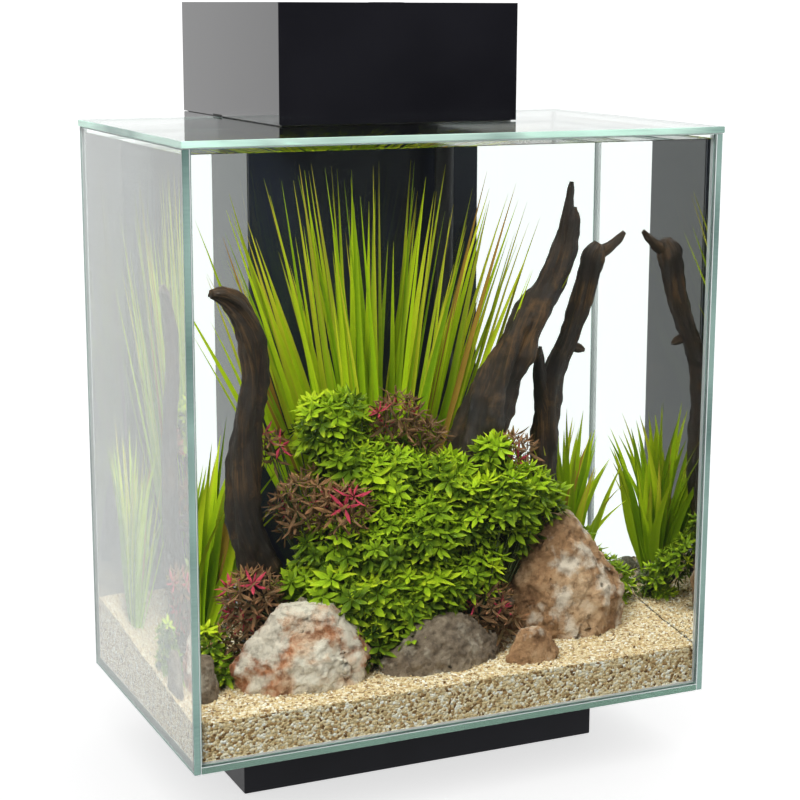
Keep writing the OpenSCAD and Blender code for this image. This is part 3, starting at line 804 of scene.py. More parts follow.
@dataclass
class GlassTank(Assembly):
    """The six panes, their sealant and the water they hold."""

    title: str = "tank"
    arris: float = 0.45 * MM
    water_gap: float = 0.12 * MM
    water_level: float = 496.5 * MM
    meniscus: float = 0.8 * MM
    thin_axis: dict[str, int] = field(
        default_factory=lambda: {
            "bottom_pane": 2, "front_pane": 1, "back_pane": 1,
            "left_pane": 0, "right_pane": 0, "glass_top": 2,
        }
    )

    def build(self) -> None:
        """Make the panes, then dress the sealant and fill the tank."""
        for node, axis in self.thin_axis.items():
            self.pane(node, axis)
        self.dress("silicone_seams", SEALANT)
        self.water()

    def pane(self, node: str, axis: int) -> None:
        """Make one pane, clear on its two large faces and green on its edges.

        Args:
            node: the pane's solid.
            axis: the number of the axis through its thickness.
        """
        piece = rounded_copy(node, node + "_glass", self.arris, 1)
        # The deck and the floor pane get edges painted lighter, a painted light.
        edge = {"glass_top": LIT_DECK_EDGE, "bottom_pane": LIT_FLOOR_EDGE}.get(node, PANE_EDGE)
        piece.data.materials.append(PANE_GLASS.material())
        piece.data.materials.append(edge.material())
        for face in piece.data.polygons:
            face.use_smooth = False
            face.material_index = 0 if abs(face.normal[axis]) > 0.9 else 1
        self.fit(piece, Body.TANK, PANE_GLASS, "clear_glass", node)

    def water(self) -> None:
        """Fill the tank up to its level, with the water drawn up a little at the glass."""
        low = Vector((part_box("left_pane")[1].x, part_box("front_pane")[1].y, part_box("bottom_pane")[1].z))
        high = Vector((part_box("right_pane")[0].x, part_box("back_pane")[0].y, self.water_level))
        gap = Vector((self.water_gap,) * 3)
        low, high = low + gap, high - gap
        bpy.ops.object.select_all(action="DESELECT")
        bpy.ops.mesh.primitive_cube_add(size=1, location=(low + high) / 2)
        water = bpy.context.object
        water.name = water.data.name = "water"
        water.scale = high - low
        bake_place(water)
        bpy.ops.object.mode_set(mode="EDIT")
        bpy.ops.mesh.select_mode(type="FACE")
        bpy.ops.mesh.select_all(action="DESELECT")
        bpy.ops.object.mode_set(mode="OBJECT")
        for face in water.data.polygons:
            face.select = face.normal.z > 0.9
        bpy.ops.object.mode_set(mode="EDIT")
        bpy.ops.mesh.inset(thickness=1.2 * MM)
        bpy.ops.transform.translate(value=(0, 0, -self.meniscus * 0.7))
        bpy.ops.mesh.inset(thickness=2.5 * MM)
        bpy.ops.transform.translate(value=(0, 0, -self.meniscus * 0.3))
        bpy.ops.object.mode_set(mode="OBJECT")
        self.fit(water, Body.TANK, WATER, "clear_glass")


@dataclass
class LampHood(Assembly):
    """The folding hood with its lamp, and the frame and hinges that carry it."""

    title: str = "hood"
    edge: float = 0.7 * MM

    def build(self) -> None:
        """Make the hood, then everything inside it."""
        self.round_off("hood_shell", Body.HOOD, GLOSS_BLACK, "hood_black", self.edge)
        self.round_off("hood_frame", Body.TANK, FRAME_BLACK, "frame_black", 0.3 * MM)
        self.dress("hinge_pins", PIN_STEEL)
        self.round_off("hood_bumpers", Body.HOOD, RUBBER, "bumper_rubber", 0.3 * MM)
        self.round_off("touch_pad", Body.HOOD, TOUCH_BLACK, "touch_ring", 0.3 * MM)
        self.round_off("lamp_housing", Body.HOOD, LAMP_WHITE, "lamp_plastic")
        self.round_off("lamp_brackets", Body.HOOD, FRAME_BLACK, "frame_black")
        self.dress("lamp_screws", PIN_STEEL)
        self.dress("led_board", BOARD_WHITE)
        self.dress("leds", DIODE_AMBER)
        self.round_off("lamp_lens", Body.HOOD, LENS_CLEAR, "lens_clear", 0.3 * MM)


@dataclass
class FilterColumn(Assembly):
    """The black column behind the tank: its sliding cover, grommet and the panel on the glass."""

    title: str = "column"
    edge: float = 0.7 * MM

    def build(self) -> None:
        """Make the cover and what belongs to it."""
        self.round_off("back_panel", Body.TANK, PANEL_BLACK, "panel_black", 0.3 * MM)
        self.round_off("rear_cover", Body.COLUMN, GLOSS_BLACK, "hood_black", self.edge)
        self.round_off("cable_grommet", Body.COLUMN, RUBBER, "bumper_rubber", 0.5 * MM)


@dataclass
class HangOnFilter(Assembly):
    """The filter hidden in the column, its media, its intake and its pump."""

    title: str = "filter"

    def build(self) -> None:
        """Make each piece from the case inwards, then the intake and the pump."""
        self.round_off("filter_case", Body.TANK, SMOKE_CLEAR, "filter_smoke")
        self.round_off("filter_lid", Body.LID, TUBE_BLACK, "frame_black")
        self.round_off("media_basket", Body.MEDIA, BASKET_GREY, "basket_grey", 0.3 * MM)
        self.dress("ceramic_rings", CERAMIC_CREAM)
        self.media()
        self.dress("intake_tube", TUBE_BLACK)
        self.round_off("flow_lever", Body.LEVER, LEVER_GREY, "lever_grey", 0.3 * MM)
        self.dress("strainer", TUBE_BLACK)
        self.round_off("motor_housing", Body.TANK, TUBE_BLACK, "tube_black", 0.5 * MM)
        self.dress("impeller", ROTOR_GREY)
        self.dress("impeller_shaft", CERAMIC_WHITE)
        sponge = self.soft("intake_sponge", Body.TANK, INTAKE_FOAM, "foam_pad", 1.6 * MM, 0.5 * MM)

    def media(self) -> None:
        """Make the foam block and the bag of carbon in the basket."""
        foam = self.soft("foam_block", Body.MEDIA, BASKET_FOAM, "foam_grey", 2.2 * MM, 0.5 * MM)
        bag = self.soft("carbon_bag", Body.MEDIA, CARBON, "carbon_mesh", 2.4 * MM, 1.0 * MM)

    def soft(
        self, node: str, body: Body, finish: Finish, slot: str, voxel: float, lumps: float
    ) -> Piece:
        """Make a soft lumpy piece of the solid's size.

        Args:
            node: the solid to copy.
            body: the body it rides on.
            finish: its finish.
            slot: not used.
            voxel: size of the mesh's cells.
            lumps: how far the surface goes in and out.

        Returns:
            The new piece.
        """
        piece = clean_copy(node, node + "_soft")
        apply_modifier(piece, "REMESH", mode="VOXEL", voxel_size=voxel)
        apply_modifier(piece, "SMOOTH", factor=0.5, iterations=4)
        for vertex in piece.data.vertices:
            push = noise.fractal(vertex.co * 140, 1.0, 2.0, 3)
            vertex.co += vertex.normal * lumps * (push - 0.6)
        select_only(piece)
        bpy.ops.object.shade_smooth()
        return self.fit(piece, body, finish, slot, node)


@dataclass
class GravelBed(Assembly):
    """The bed of gravel: a body with an uneven top, and loose grains over it and at the glass."""

    title: str = "gravel"
    front_depth: float = 33 * MM
    back_depth: float = 56 * MM
    inset: float = 0.7 * MM
    top_grains: int = 9600
    wall_grains: int = 9600
    columns: int = 150
    rows: int = 92

    def build(self) -> None:
        """Make the bed, then its grains."""
        self.low, self.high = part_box("gravel_bed")
        self.bed()
        chance = random.Random(7)
        self.grains("gravel_top_grains", [self.top_place(chance) for _ in range(self.top_grains)], 11)
        self.grains(
            "gravel_wall_grains", [self.wall_place(chance) for _ in range(self.wall_grains)], 12
        )

    def height(self, x: float, y: float) -> float:
        """How high the gravel stands at a place on the floor of the tank."""
        share = (y - self.low.y) / (self.high.y - self.low.y)
        rise = (self.back_depth - self.front_depth) * min(1.0, share * 1.08)
        swell = noise.noise(Vector((x * 16, y * 16, 3.1))) * 1.6 * MM
        ripple = noise.noise(Vector((x * 60, y * 60, 8.3))) * 0.9 * MM
        return self.low.z + self.front_depth + rise + swell + ripple - 1.6 * MM

    def bed(self) -> None:
        """Make the body of the bed from a grid drawn down to the bottom pane."""
        size = self.high - self.low
        middle = (self.high + self.low) / 2
        bpy.ops.object.select_all(action="DESELECT")
        bpy.ops.mesh.primitive_grid_add(
            x_subdivisions=self.columns, y_subdivisions=self.rows, size=1,
            location=(middle.x, middle.y, self.high.z),
        )
        bed = bpy.context.object
        bed.name = bed.data.name = "gravel_body"
        bed.scale = (size.x - 2 * self.inset, size.y - 2 * self.inset, 1)
        bake_place(bed)
        for vertex in bed.data.vertices:
            vertex.co.z = self.height(vertex.co.x, vertex.co.y)
        bpy.ops.object.mode_set(mode="EDIT")
        bpy.ops.mesh.select_all(action="SELECT")
        bpy.ops.mesh.extrude_region_move(TRANSFORM_OT_translate={"value": (0, 0, -size.z)})
        bpy.ops.object.mode_set(mode="OBJECT")
        for vertex in bed.data.vertices:
            if vertex.select:
                vertex.co.z = self.low.z + 0.2 * MM
        bpy.ops.object.mode_set(mode="EDIT")
        bpy.ops.mesh.select_all(action="SELECT")
        bpy.ops.mesh.normals_make_consistent(inside=False)
        bpy.ops.object.mode_set(mode="OBJECT")
        self.fit(bed, Body.TANK, GRAVEL_BED, "gravel_tan", "gravel_bed")

    def top_place(self, chance: random.Random) -> Vector:
        """A random place on top of the bed."""
        edge = 1.9 * MM
        x = chance.uniform(self.low.x + edge, self.high.x - edge)
        y = chance.uniform(self.low.y + edge, self.high.y - edge)
        return Vector((x, y, self.height(x, y) + chance.uniform(-0.3, 0.8) * MM))

    def wall_place(self, chance: random.Random) -> Vector:
        """A random place just behind one of the four upright panes."""
        side = chance.choices(("front", "left", "right", "back"), (42, 20, 18, 20))[0]
        edge = 1.9 * MM
        x = chance.uniform(self.low.x + edge, self.high.x - edge)
        y = chance.uniform(self.low.y + edge, self.high.y - edge)
        if side in ("front", "back"):
            y = self.low.y + edge if side == "front" else self.high.y - edge
        else:
            x = self.low.x + edge if side == "left" else self.high.x - edge
        z = chance.uniform(self.low.z + 1.9 * MM, self.height(x, y) + 0.8 * MM)
        return Vector((x, y, z))

    def grains(self, name: str, places: list[Vector], seed: int) -> None:
        """Scatter grains over the places.

        Args:
            name: the piece's name.
            places: the middle of each grain.
            seed: the random seed for their sizes, turns and tones.
        """
        chance = random.Random(seed)
        bpy.ops.object.select_all(action="DESELECT")
        bpy.ops.mesh.primitive_ico_sphere_add(subdivisions=1, radius=1)
        pattern = bpy.context.object
        corners = [v.co * chance.uniform(0.85, 1.15) for v in pattern.data.vertices]
        faces = [tuple(face.vertices) for face in pattern.data.polygons]
        bpy.data.objects.remove(pattern)
        turns, tones = [], []
        for place in places:
            radius = chance.triangular(0.7, 1.6, 1.0) * MM
            stretch = Matrix.Diagonal((radius, radius * chance.uniform(0.7, 1), radius * 0.8, 1))
            spin = Matrix.Rotation(chance.uniform(0, math.tau), 4, chance_axis(chance))
            turns.append(Matrix.Translation(place) @ spin @ stretch)
            tones.append([min(1.0, max(0.0, chance.gauss(0.55, 0.24)))] * len(corners))
        piece = scatter_mesh(name, corners, faces, turns, {"tone": tones})
        self.fit(piece, Body.TANK, GRAVEL_GRAIN, "gravel_tan")


def keep_in_glass(piece: Piece, gap: float = 0.6 * MM) -> None:
    """Press whatever reaches an upright pane back to lie just inside it."""
    low = Vector((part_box("left_pane")[1].x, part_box("front_pane")[1].y, 0))
    high = Vector((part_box("right_pane")[0].x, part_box("back_pane")[0].y, 0))
    for vertex in piece.data.vertices:
        for axis in (0, 1):
            inside = min(high[axis] - gap, max(low[axis] + gap, vertex.co[axis]))
            vertex.co[axis] = inside


def chance_axis(chance: random.Random) -> Vector:
    """A random direction."""
    return Vector((chance.gauss(0, 1), chance.gauss(0, 1), chance.gauss(0, 1))).normalized()


@dataclass(frozen=True)
class Chip:
    """A flat facet broken off a stone: its direction, and how far out it lies from 0 to 1."""

    direction: Place
    reach: float


def direction_reach(direction: Vector, half: Vector) -> float:
    """How far a rounded block of these half sizes reaches in a direction."""
    return math.sqrt(sum((direction[axis] * half[axis]) ** 2 for axis in range(3)))


@dataclass
class Stones(Assembly):
    """The stones: chipped boulders with a weathered skin, and three pebbles."""

    title: str = "stones"
    voxel: float = 1.7 * MM
    pebble_voxel: float = 0.9 * MM

    def build(self) -> None:
        """Make each stone from its solid, with its own chips."""
        self.boulder(
            "rock_left", STONE_RED, "rock_red", 1,
            [Chip((-0.75, -0.5, 0.55), 0.86), Chip((0.6, -0.55, 0.5), 0.92),
             Chip((0.1, -0.95, 0.25), 0.88), Chip((-0.25, -0.9, -0.2), 0.9),
             Chip((0.2, 0.1, 0.97), 0.97)],
            (1.10, 1.0, 1.02), (6, -2, 0),
        )
        self.boulder(
            "rock_middle", STONE_GREY, "rock_brown", 2,
            [Chip((-0.2, -0.8, 0.55), 0.92), Chip((0.65, -0.5, 0.6), 0.92),
             Chip((-0.8, -0.3, 0.5), 0.93)],
            (1.16, 1.0, 1.08), (5, -4, 0),
        )
        self.boulder(
            "rock_right", STONE_BROWN, "rock_brown", 3,
            [Chip((0.60, -0.45, 0.66), 0.86), Chip((-0.1, -0.92, 0.35), 0.88),
             Chip((0.9, -0.3, 0.1), 0.93), Chip((-0.7, -0.6, 0.5), 0.9)],
            (1.22, 1.0, 1.03), (6, 0, 0),
        )
        self.boulder(
            "rock_small_right", STONE_BROWN, "rock_brown", 4,
            [Chip((0.5, -0.7, 0.5), 0.88), Chip((-0.6, -0.6, 0.5), 0.9)],
            (1.15, 1.0, 1.0), (2, 0, 0),
        )
        self.boulder("rock_small_left", STONE_GREY, "rock_brown", 5, [Chip((0.4, -0.7, 0.6), 0.86)])
        self.boulder("pebbles", PEBBLE, "pebble_grey", 6, [])

    def boulder(
        self,
        node: str,
        finish: Finish,
        slot: str,
        seed: int,
        chips: list[Chip],
        grow: Place = (1, 1, 1),
        shift: Place = (0, 0, 0),
    ) -> None:
        """Chip, roughen and weather one stone.

        Args:
            node: the stone's solid.
            finish: its finish.
            slot: not used.
            seed: where in the noise its roughness is read.
            chips: the flat facets.
            grow: how much larger than its solid it is along each axis.
            shift: how far it stands from its solid, in millimetres.
        """
        stone = clean_copy(node, node + "_weathered")
        low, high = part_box(node)
        middle, half = (low + high) / 2, (high - low) / 2
        half = Vector(half[axis] * grow[axis] for axis in range(3))
        for vertex in stone.data.vertices:
            away = vertex.co - middle
            vertex.co = middle + Vector(away[axis] * grow[axis] for axis in range(3))
            vertex.co += Vector(shift) * MM
        middle += Vector(shift) * MM
        select_only(stone)
        for chip in chips:
            direction = Vector(chip.direction).normalized()
            reach = direction_reach(direction, half) * chip.reach
            bpy.ops.object.mode_set(mode="EDIT")
            bpy.ops.mesh.select_all(action="SELECT")
            bpy.ops.mesh.bisect(
                plane_co=middle + direction * reach, plane_no=direction,
                use_fill=True, clear_outer=True,
            )
            bpy.ops.object.mode_set(mode="OBJECT")
        voxel = self.pebble_voxel if node == "pebbles" else self.voxel
        apply_modifier(stone, "REMESH", mode="VOXEL", voxel_size=voxel)
        apply_modifier(stone, "SMOOTH", factor=0.5, iterations=2)
        size = min(half)
        sample = Vector((seed * 3.7, seed * 1.3, seed * 5.1))
        for vertex in stone.data.vertices:
            broad = noise.fractal(vertex.co / size * 1.3 + sample, 0.9, 2.0, 4)
            crags = noise.ridged_multi_fractal(vertex.co / size * 2.6 + sample, 0.9, 2.1, 4, 1.0, 2.0)
            grit = noise.fractal(vertex.co * 260 + sample, 0.8, 2.0, 3)
            push = size * (0.13 * broad + 0.075 * (crags - 1.6) + 0.03) + 0.7 * MM * grit
            vertex.co += vertex.normal * push
        select_only(stone)
        bpy.ops.object.shade_smooth()
        self.fit(stone, Body.TANK, finish, slot, node)


@dataclass
class Branch:
    """One tapering branch: places along it as (x, y, z, radius) in millimetres."""

    places: list[tuple[float, float, float, float]]
    lobes: int = 5
    twist: float = 9.0
    seed: float = 0.0
    sides: int = 48
    step: float = 1.8 * MM

    def rings(self) -> list[tuple[Vector, float, float]]:
        """Centres, radii and distances along the branch, smoothly between its places."""
        points = [Vector(place[:3]) * MM for place in self.places]
        radii = [place[3] * MM for place in self.places]
        rings, run = [], 0.0
        for index in range(len(points) - 1):
            before = points[max(0, index - 1)]
            start, end = points[index], points[index + 1]
            after = points[min(len(points) - 1, index + 2)]
            length = (end - start).length
            count = max(2, round(length / self.step))
            for part in range(count):
                t = part / count
                centre = 0.5 * (
                    2 * start
                    + (end - before) * t
                    + (2 * before - 5 * start + 4 * end - after) * t * t
                    + (3 * start - before - 3 * end + after) * t**3
                )
                smooth = t * t * (3 - 2 * t)
                rings.append((centre, radii[index] + (radii[index + 1] - radii[index]) * smooth, run))
                run += length / count
        rings.append((points[-1], radii[-1], run))
        return rings

    def mesh(self, name: str) -> Piece:
        """Sweep a lobed, twisting and knotty outline along the branch.

        Args:
            name: the piece's name.

        Returns:
            The new piece, closed at both ends, with its grain direction stored on its corners.
        """
        rings = self.rings()
        points, faces, grain = [], [], []
        side = Vector((1, 0, 0))
        for index, (centre, radius, run) in enumerate(rings):
            ahead = rings[min(index + 1, len(rings) - 1)][0]
            behind = rings[max(index - 1, 0)][0]
            along = (ahead - behind).normalized()
            side = (side - along * side.dot(along)).normalized()
            across = along.cross(side)
            for corner in range(self.sides):
                angle = corner / self.sides * math.tau
                turned = angle + run * self.twist
                spot = Vector((math.cos(angle), math.sin(angle), run * 22 + self.seed))
                lobe = 0.10 * math.sin(self.lobes * turned) + 0.06 * math.sin(3 * turned + 1.7)
                knots = 0.30 * noise.noise(spot * 1.4)
                around = Vector((math.cos(turned) * 4.5, math.sin(turned) * 4.5, 0))
                flutes = 0.26 * (0.35 - abs(noise.noise(around + UP * (run * 14 + self.seed))))
                bumps = 0.10 * noise.noise(around * 0.8 + UP * (run * 130 + self.seed))
                reach = radius * (0.93 + lobe + knots + flutes + bumps)
                outward = side * math.cos(angle) + across * math.sin(angle)
                points.append(centre + outward * reach)
                grain.extend((math.cos(turned) * 0.03, math.sin(turned) * 0.03, run * 0.16))
        for ring in range(len(rings) - 1):
            for corner in range(self.sides):
                after = (corner + 1) % self.sides
                first, second = ring * self.sides, (ring + 1) * self.sides
                faces.append((first + corner, first + after, second + after, second + corner))
        faces.append(tuple(reversed(range(self.sides))))
        last = (len(rings) - 1) * self.sides
        faces.append(tuple(range(last, last + self.sides)))
        mesh = bpy.data.meshes.new(name)
        mesh.from_pydata(points, [], faces)
        layer = mesh.attributes.new("grain", "FLOAT_VECTOR", "POINT")
        layer.data.foreach_set("vector", grain)
        for face in mesh.polygons:
            face.use_smooth = True
        return new_piece(name, mesh)


def side_branch(places: list[tuple[float, float, float, float]], seed: float) -> Branch:
    """A thin branch, with fewer lobes and sides than a thick one."""
    return Branch(places, lobes=3, seed=seed, sides=20)


@dataclass
class Driftwood(Assembly):
    """Three pieces of driftwood, each of one or more branches grown together."""

    title: str = "driftwood"

    def build(self) -> None:
        """Make the three pieces."""
        self.grow(
            "driftwood_left",
            [Branch(
                [(-136, -12, 82, 24), (-128, -10, 118, 19), (-131, -11, 160, 16), (-140, -14, 196, 15),
                 (-145, -16, 240, 13.5), (-142, -17, 290, 10.5), (-136, -18, 325, 10),
                 (-139, -19, 356, 10.5), (-150, -22, 378, 9), (-163, -27, 388, 6.5), (-172, -30, 390, 3.6)],
                seed=1.0,
            )],
        )
        self.grow(
            "driftwood_tall",
            [
                Branch(
                    [(26, -2, 84, 24), (34, 0, 150, 23), (44, 0, 222, 22), (59, 4, 266, 20.5),
                     (79, 7, 308, 18), (100, 8, 346, 15), (119, 10, 374, 12.5), (132, 11, 398, 11),
                     (139, 12, 424, 8.5), (141, 12, 438, 4)],
                    seed=4.0,
                ),
                side_branch(
                    [(134, 11, 408, 6), (137, 11, 432, 5), (139, 11, 449, 3.2), (140, 11, 458, 1.6)], 5.0,
                ),
            ],
        )
        self.grow(
            "driftwood_forked",
            [
                Branch(
                    [(124, 44, 84, 16), (128, 45, 150, 13), (133, 46, 215, 12), (135, 46, 262, 11),
                     (141, 46, 300, 9), (156, 45, 335, 8.5), (167, 44, 366, 10), (174, 43, 392, 11),
                     (180, 42, 404, 6)],
                    seed=8.0,
                ),
                side_branch(
                    [(172, 43, 392, 9), (184, 41, 398, 5.5), (194, 39, 406, 4), (201, 38, 413, 2)], 9.0,
                ),
                side_branch(
                    [(134, 46, 268, 9), (128, 45, 292, 6.5), (126, 44, 310, 4.5), (127, 44, 322, 1.4)], 10.0,
                ),
                side_branch([(150, 45, 322, 6), (162, 44, 318, 4), (168, 43, 316, 1.5)], 11.0),
            ],
        )

    def grow(self, node: str, branches: list[Branch]) -> None:
        """Join a piece's branches into one and roughen it.

        Args:
            node: the solid that the piece stands for.
            branches: its branches.
        """
        parts = [branch.mesh(f"{node}_part_{index}") for index, branch in enumerate(branches)]
        select_only(*reversed(parts))
        if len(parts) > 1:
            bpy.ops.object.join()
        piece = parts[0]
        piece.name = piece.data.name = node + "_grown"
        self.fit(piece, Body.TANK, DRIFTWOOD, "wood_dark", node)


@dataclass
class GrassClump(Assembly):
    """A clump of long pointed blades that fan out from one foot.

    The reach is how far the tips spread from the foot, left, right, forward and back. A blade is
    widest at a share of its length, and its tip keeps a small share of its width.
    """

    node: str = ""
    foot: Place = (0, 0, 0)
    foot_radius: float = 20 * MM
    blades: int = 80
    length: tuple[float, float] = mm(250, 360)
    width: tuple[float, float] = mm(4, 7)
    reach: tuple[float, float, float, float] = (0.1, 0.1, 0.05, 0.05)
    arch: float = 0.1
    ripe: float = 0.5
    seed: int = 1
    segments: int = 12
    widest: float = 0.3
    narrowest: float = 0.02
    title: str = "grass"

    def build(self) -> None:
        """Make every blade and join them in one piece."""
        chance = random.Random(self.seed)
        points: list[Vector] = []
        faces: list[tuple[int, ...]] = []
        numbers: dict[str, list[float]] = {"tone": [], "along": [], "ripe": [], "blush": []}
        for _ in range(self.blades):
            self.blade(chance, points, faces, numbers)
        mesh = bpy.data.meshes.new(self.node)
        mesh.from_pydata(points, [], faces)
        for key, values in numbers.items():
            mesh.attributes.new(key, "FLOAT", "POINT").data.foreach_set("value", values)
        for face in mesh.polygons:
            face.use_smooth = True
        piece = new_piece(self.node + "_blades", mesh)
        keep_in_glass(piece)
        self.fit(piece, Body.TANK, GRASS, "grass_green", self.node)

    def blade(
        self,
        chance: random.Random,
        points: list[Vector],
        faces: list[tuple[int, ...]],
        numbers: dict[str, list[float]],
    ) -> None:
        """Add one blade: a folded strip that narrows to a point and bends outwards.

        Args:
            chance: where its sizes come from.
            points: all corners so far.
            faces: all faces so far.
            numbers: the corners' named numbers so far.
        """
        left, right, front, back = self.reach
        across = chance.uniform(-1, 1)
        deep = chance.uniform(-1, 1)
        spread_x = across * (right if across > 0 else left)
        spread_y = deep * (back if deep > 0 else front)
        low, high = self.length
        height = (low + (high - low) * chance.random() ** 0.6) * (1 - 0.13 * across * across)
        root = Vector(self.foot) + Vector(
            (across * self.foot_radius * chance.uniform(0.5, 1), deep * self.foot_radius * 0.8, 0)
        )
        width = chance.uniform(*self.width)
        facing = chance.uniform(-0.9, 0.9)
        flat = Vector((math.cos(facing), math.sin(facing), 0))
        fold = Vector((-math.sin(facing), math.cos(facing), 0)) * width * 0.22
        bend = self.arch * chance.uniform(0.3, 1.3)
        wave = chance.uniform(-1, 1) * 0.02
        tone = min(1.0, max(0.0, chance.gauss(0.55, 0.22)))
        blush = 0.9 if chance.random() < 0.10 * self.ripe else 0.0
        ripe = chance.random() ** 1.5 if chance.random() < self.ripe else 0.1
        first = len(points)
        for ring in range(self.segments + 1):
            t = ring / self.segments
            lean = t * (1 - bend) + bend * t**2.6
            sway = wave * math.sin(t * 4) * 0.3
            rise = height * t * (1 - bend * 0.25 * t)
            centre = root + Vector((spread_x * lean + sway, spread_y * lean, rise))
            if t < self.widest:
                swell = 0.55 + 0.45 * (t / self.widest)
            else:
                swell = 1 - ((t - self.widest) / (1 - self.widest)) ** 1.7
            swell = max(swell, self.narrowest)
            half = width / 2 * swell
            edge_ripe = ripe if chance.random() < 0.9 else 0.2
            for offset, edge in ((-1, 1), (0, 0), (1, 1)):
                drop = fold * (0 if edge else 1) * swell
                points.append(centre + flat * half * offset + drop)
                numbers["tone"].append(min(1.0, tone * (0.55 + 0.6 * t) + 0.10 * edge))
                numbers["along"].append(t)
                numbers["ripe"].append(edge_ripe * (1.0 if edge else 0.55))
                numbers["blush"].append(min(1.0, blush + (0.55 * ripe * t if edge else 0)))
        for ring in range(self.segments):
            start = first + ring * 3
            for column in range(2):
                faces.append((start + column, start + column + 1, start + column + 4, start + column + 3))


@dataclass(frozen=True)
class Mound:
    """A rounded mass of leaf heads: its middle and radius in millimetres, and if it is red."""

    x: float
    y: float
    z: float
    radius: float
    red: bool = False


@dataclass
class LeafyPlant(Assembly):
    """A bushy plant: heads of pointed leaves over mounds, with stems from its foot."""

    node: str = ""
    name: str = ""
    foot: Place = (0, 0, 0)
    mounds: list[Mound] = field(default_factory=list)
    spacing: float = 12.5 * MM
    head: float = 16 * MM
    seed: int = 1
    title: str = "leafy plant"

    def build(self) -> None:
        """Make the green heads, the red heads and the stems."""
        chance = random.Random(self.seed)
        green, red = [], []
        for mound in self.mounds:
            places = self.heads_on(mound, chance)
            (red if mound.red else green).extend(places)
        self.name = self.name or self.node
        self.heads(self.name + "_leaves", green, LEAF, 10, 0.36, self.node)
        if red:
            self.heads(self.name + "_red_leaves", red, RED_LEAF, 8, 0.20)
        self.stems(green + red, chance)

    def heads_on(self, mound: Mound, chance: random.Random) -> list[tuple[Vector, Vector, float]]:
        """Places, directions and tones of the leaf heads over one mound.

        Args:
            mound: the mound.
            chance: where the unevenness comes from.

        Returns:
            One (place, direction, lift) for each head, the lift being its height on the mound from 0 at the
            bottom to 1 at the top, which is used as painted light.
        """
        middle = Vector((mound.x, mound.y, mound.z)) * MM
        radius = mound.radius * MM
        count = max(5, round(4 * math.pi * radius**2 / self.spacing**2))
        found = []
        for index in range(count):
            z = 1 - 2 * (index + 0.5) / count
            angle = index * 2.399963 + mound.x
            flat = math.sqrt(1 - z * z)
            outward = Vector((flat * math.cos(angle), flat * math.sin(angle), z))
            place = middle + outward * radius * chance.uniform(0.72, 1.06)
            if any(self.buried(place, other) for other in self.mounds if other is not mound):
                continue
            direction = (outward * 0.75 + UP * 0.6 + chance_axis(chance) * 0.28).normalized()
            # The lift is the head's height on its mound, kept as painted light: it makes the top heads
            # lighter and the bottom heads darker.
            found.append((place, direction, 0.5 + 0.5 * z))
        return found

    @staticmethod
    def buried(place: Vector, mound: Mound) -> bool:
        """If a place lies well inside a mound."""
        middle = Vector((mound.x, mound.y, mound.z)) * MM
        return (place - middle).length < mound.radius * MM * 0.62

    def heads(
        self,
        name: str,
        places: list[tuple[Vector, Vector, float]],
        finish: Finish,
        leaves: int,
        broad: float,
        *nodes: str,
    ) -> None:
        """Copy one leaf head to all the places.

        Args:
            name: the piece's name.
            places: place, direction and lift of each head; the lift paints the upper heads lighter and the
                lower heads darker, a painted light.
            finish: the leaves' finish.
            leaves: leaves around a head.
            broad: a leaf's width as a share of its length.
            nodes: the solids that the piece replaces.
        """
        corners, faces, along = leaf_head(leaves, broad)
        chance = random.Random(self.seed + len(places))
        turns: list[Matrix] = []
        values: dict[str, list[list[float]]] = {"tone": [], "along": [], "ripe": [], "blush": []}
        for place, direction, lift in places:
            size = self.head * chance.uniform(0.75, 1.2)
            turn = direction.to_track_quat("Z", "Y").to_matrix().to_4x4()
            spin = Matrix.Rotation(chance.uniform(0, math.tau), 4, "Z")
            turns.append(Matrix.Translation(place) @ turn @ spin @ Matrix.Scale(size, 4))
            # Painted light: a head high on its mound gets a lighter tone and a low one a darker tone, as if
            # lit from above and shaded below.
            tone = 0.50 * lift + 0.08 + chance.gauss(0, 0.19)
            rosy = 1.0 if chance.random() < 0.10 else 0.0
            ripe = 0.95 if chance.random() < 0.25 else 0.3
            values["tone"].append([min(1.0, max(0.0, tone + 0.16 * t)) for t in along])
            values["along"].append(along)
            values["ripe"].append([ripe] * len(along))
            values["blush"].append([rosy if "red" in name else 0.0] * len(along))
        piece = scatter_mesh(name, corners, faces, turns, values)
        keep_in_glass(piece)
        self.fit(piece, Body.TANK, finish, "leaf_green", *nodes)

    def stems(self, places: list[tuple[Vector, Vector, float]], chance: random.Random) -> None:
        """Draw thin three-sided stems from the foot to every third head."""
        foot = Vector(self.foot)
        points, faces = [], []
        for place, _, _ in places[::3]:
            root = foot + Vector((chance.uniform(-9, 9), chance.uniform(-9, 9), 0)) * MM
            bend = (root + place) / 2 + Vector((0, 0, -0.12)) * (place - root).length
            bend += (place - foot) * 0.15
            for step in range(5):
                t = step / 4
                centre = root * (1 - t) ** 2 + bend * 2 * t * (1 - t) + place * t * t
                radius = (1.5 - 0.8 * t) * MM
                for corner in range(3):
                    angle = corner / 3 * math.tau
                    points.append(centre + Vector((math.cos(angle), math.sin(angle), 0)) * radius)
                if step:
                    base = len(points) - 6
                    for corner in range(3):
                        after = (corner + 1) % 3
                        faces.append((base + corner, base + after, base + 3 + after, base + 3 + corner))
        mesh = bpy.data.meshes.new(self.name + "_stems")
        mesh.from_pydata(points, [], faces)
        self.fit(new_piece(self.name + "_stems", mesh), Body.TANK, STEM, "leaf_green")


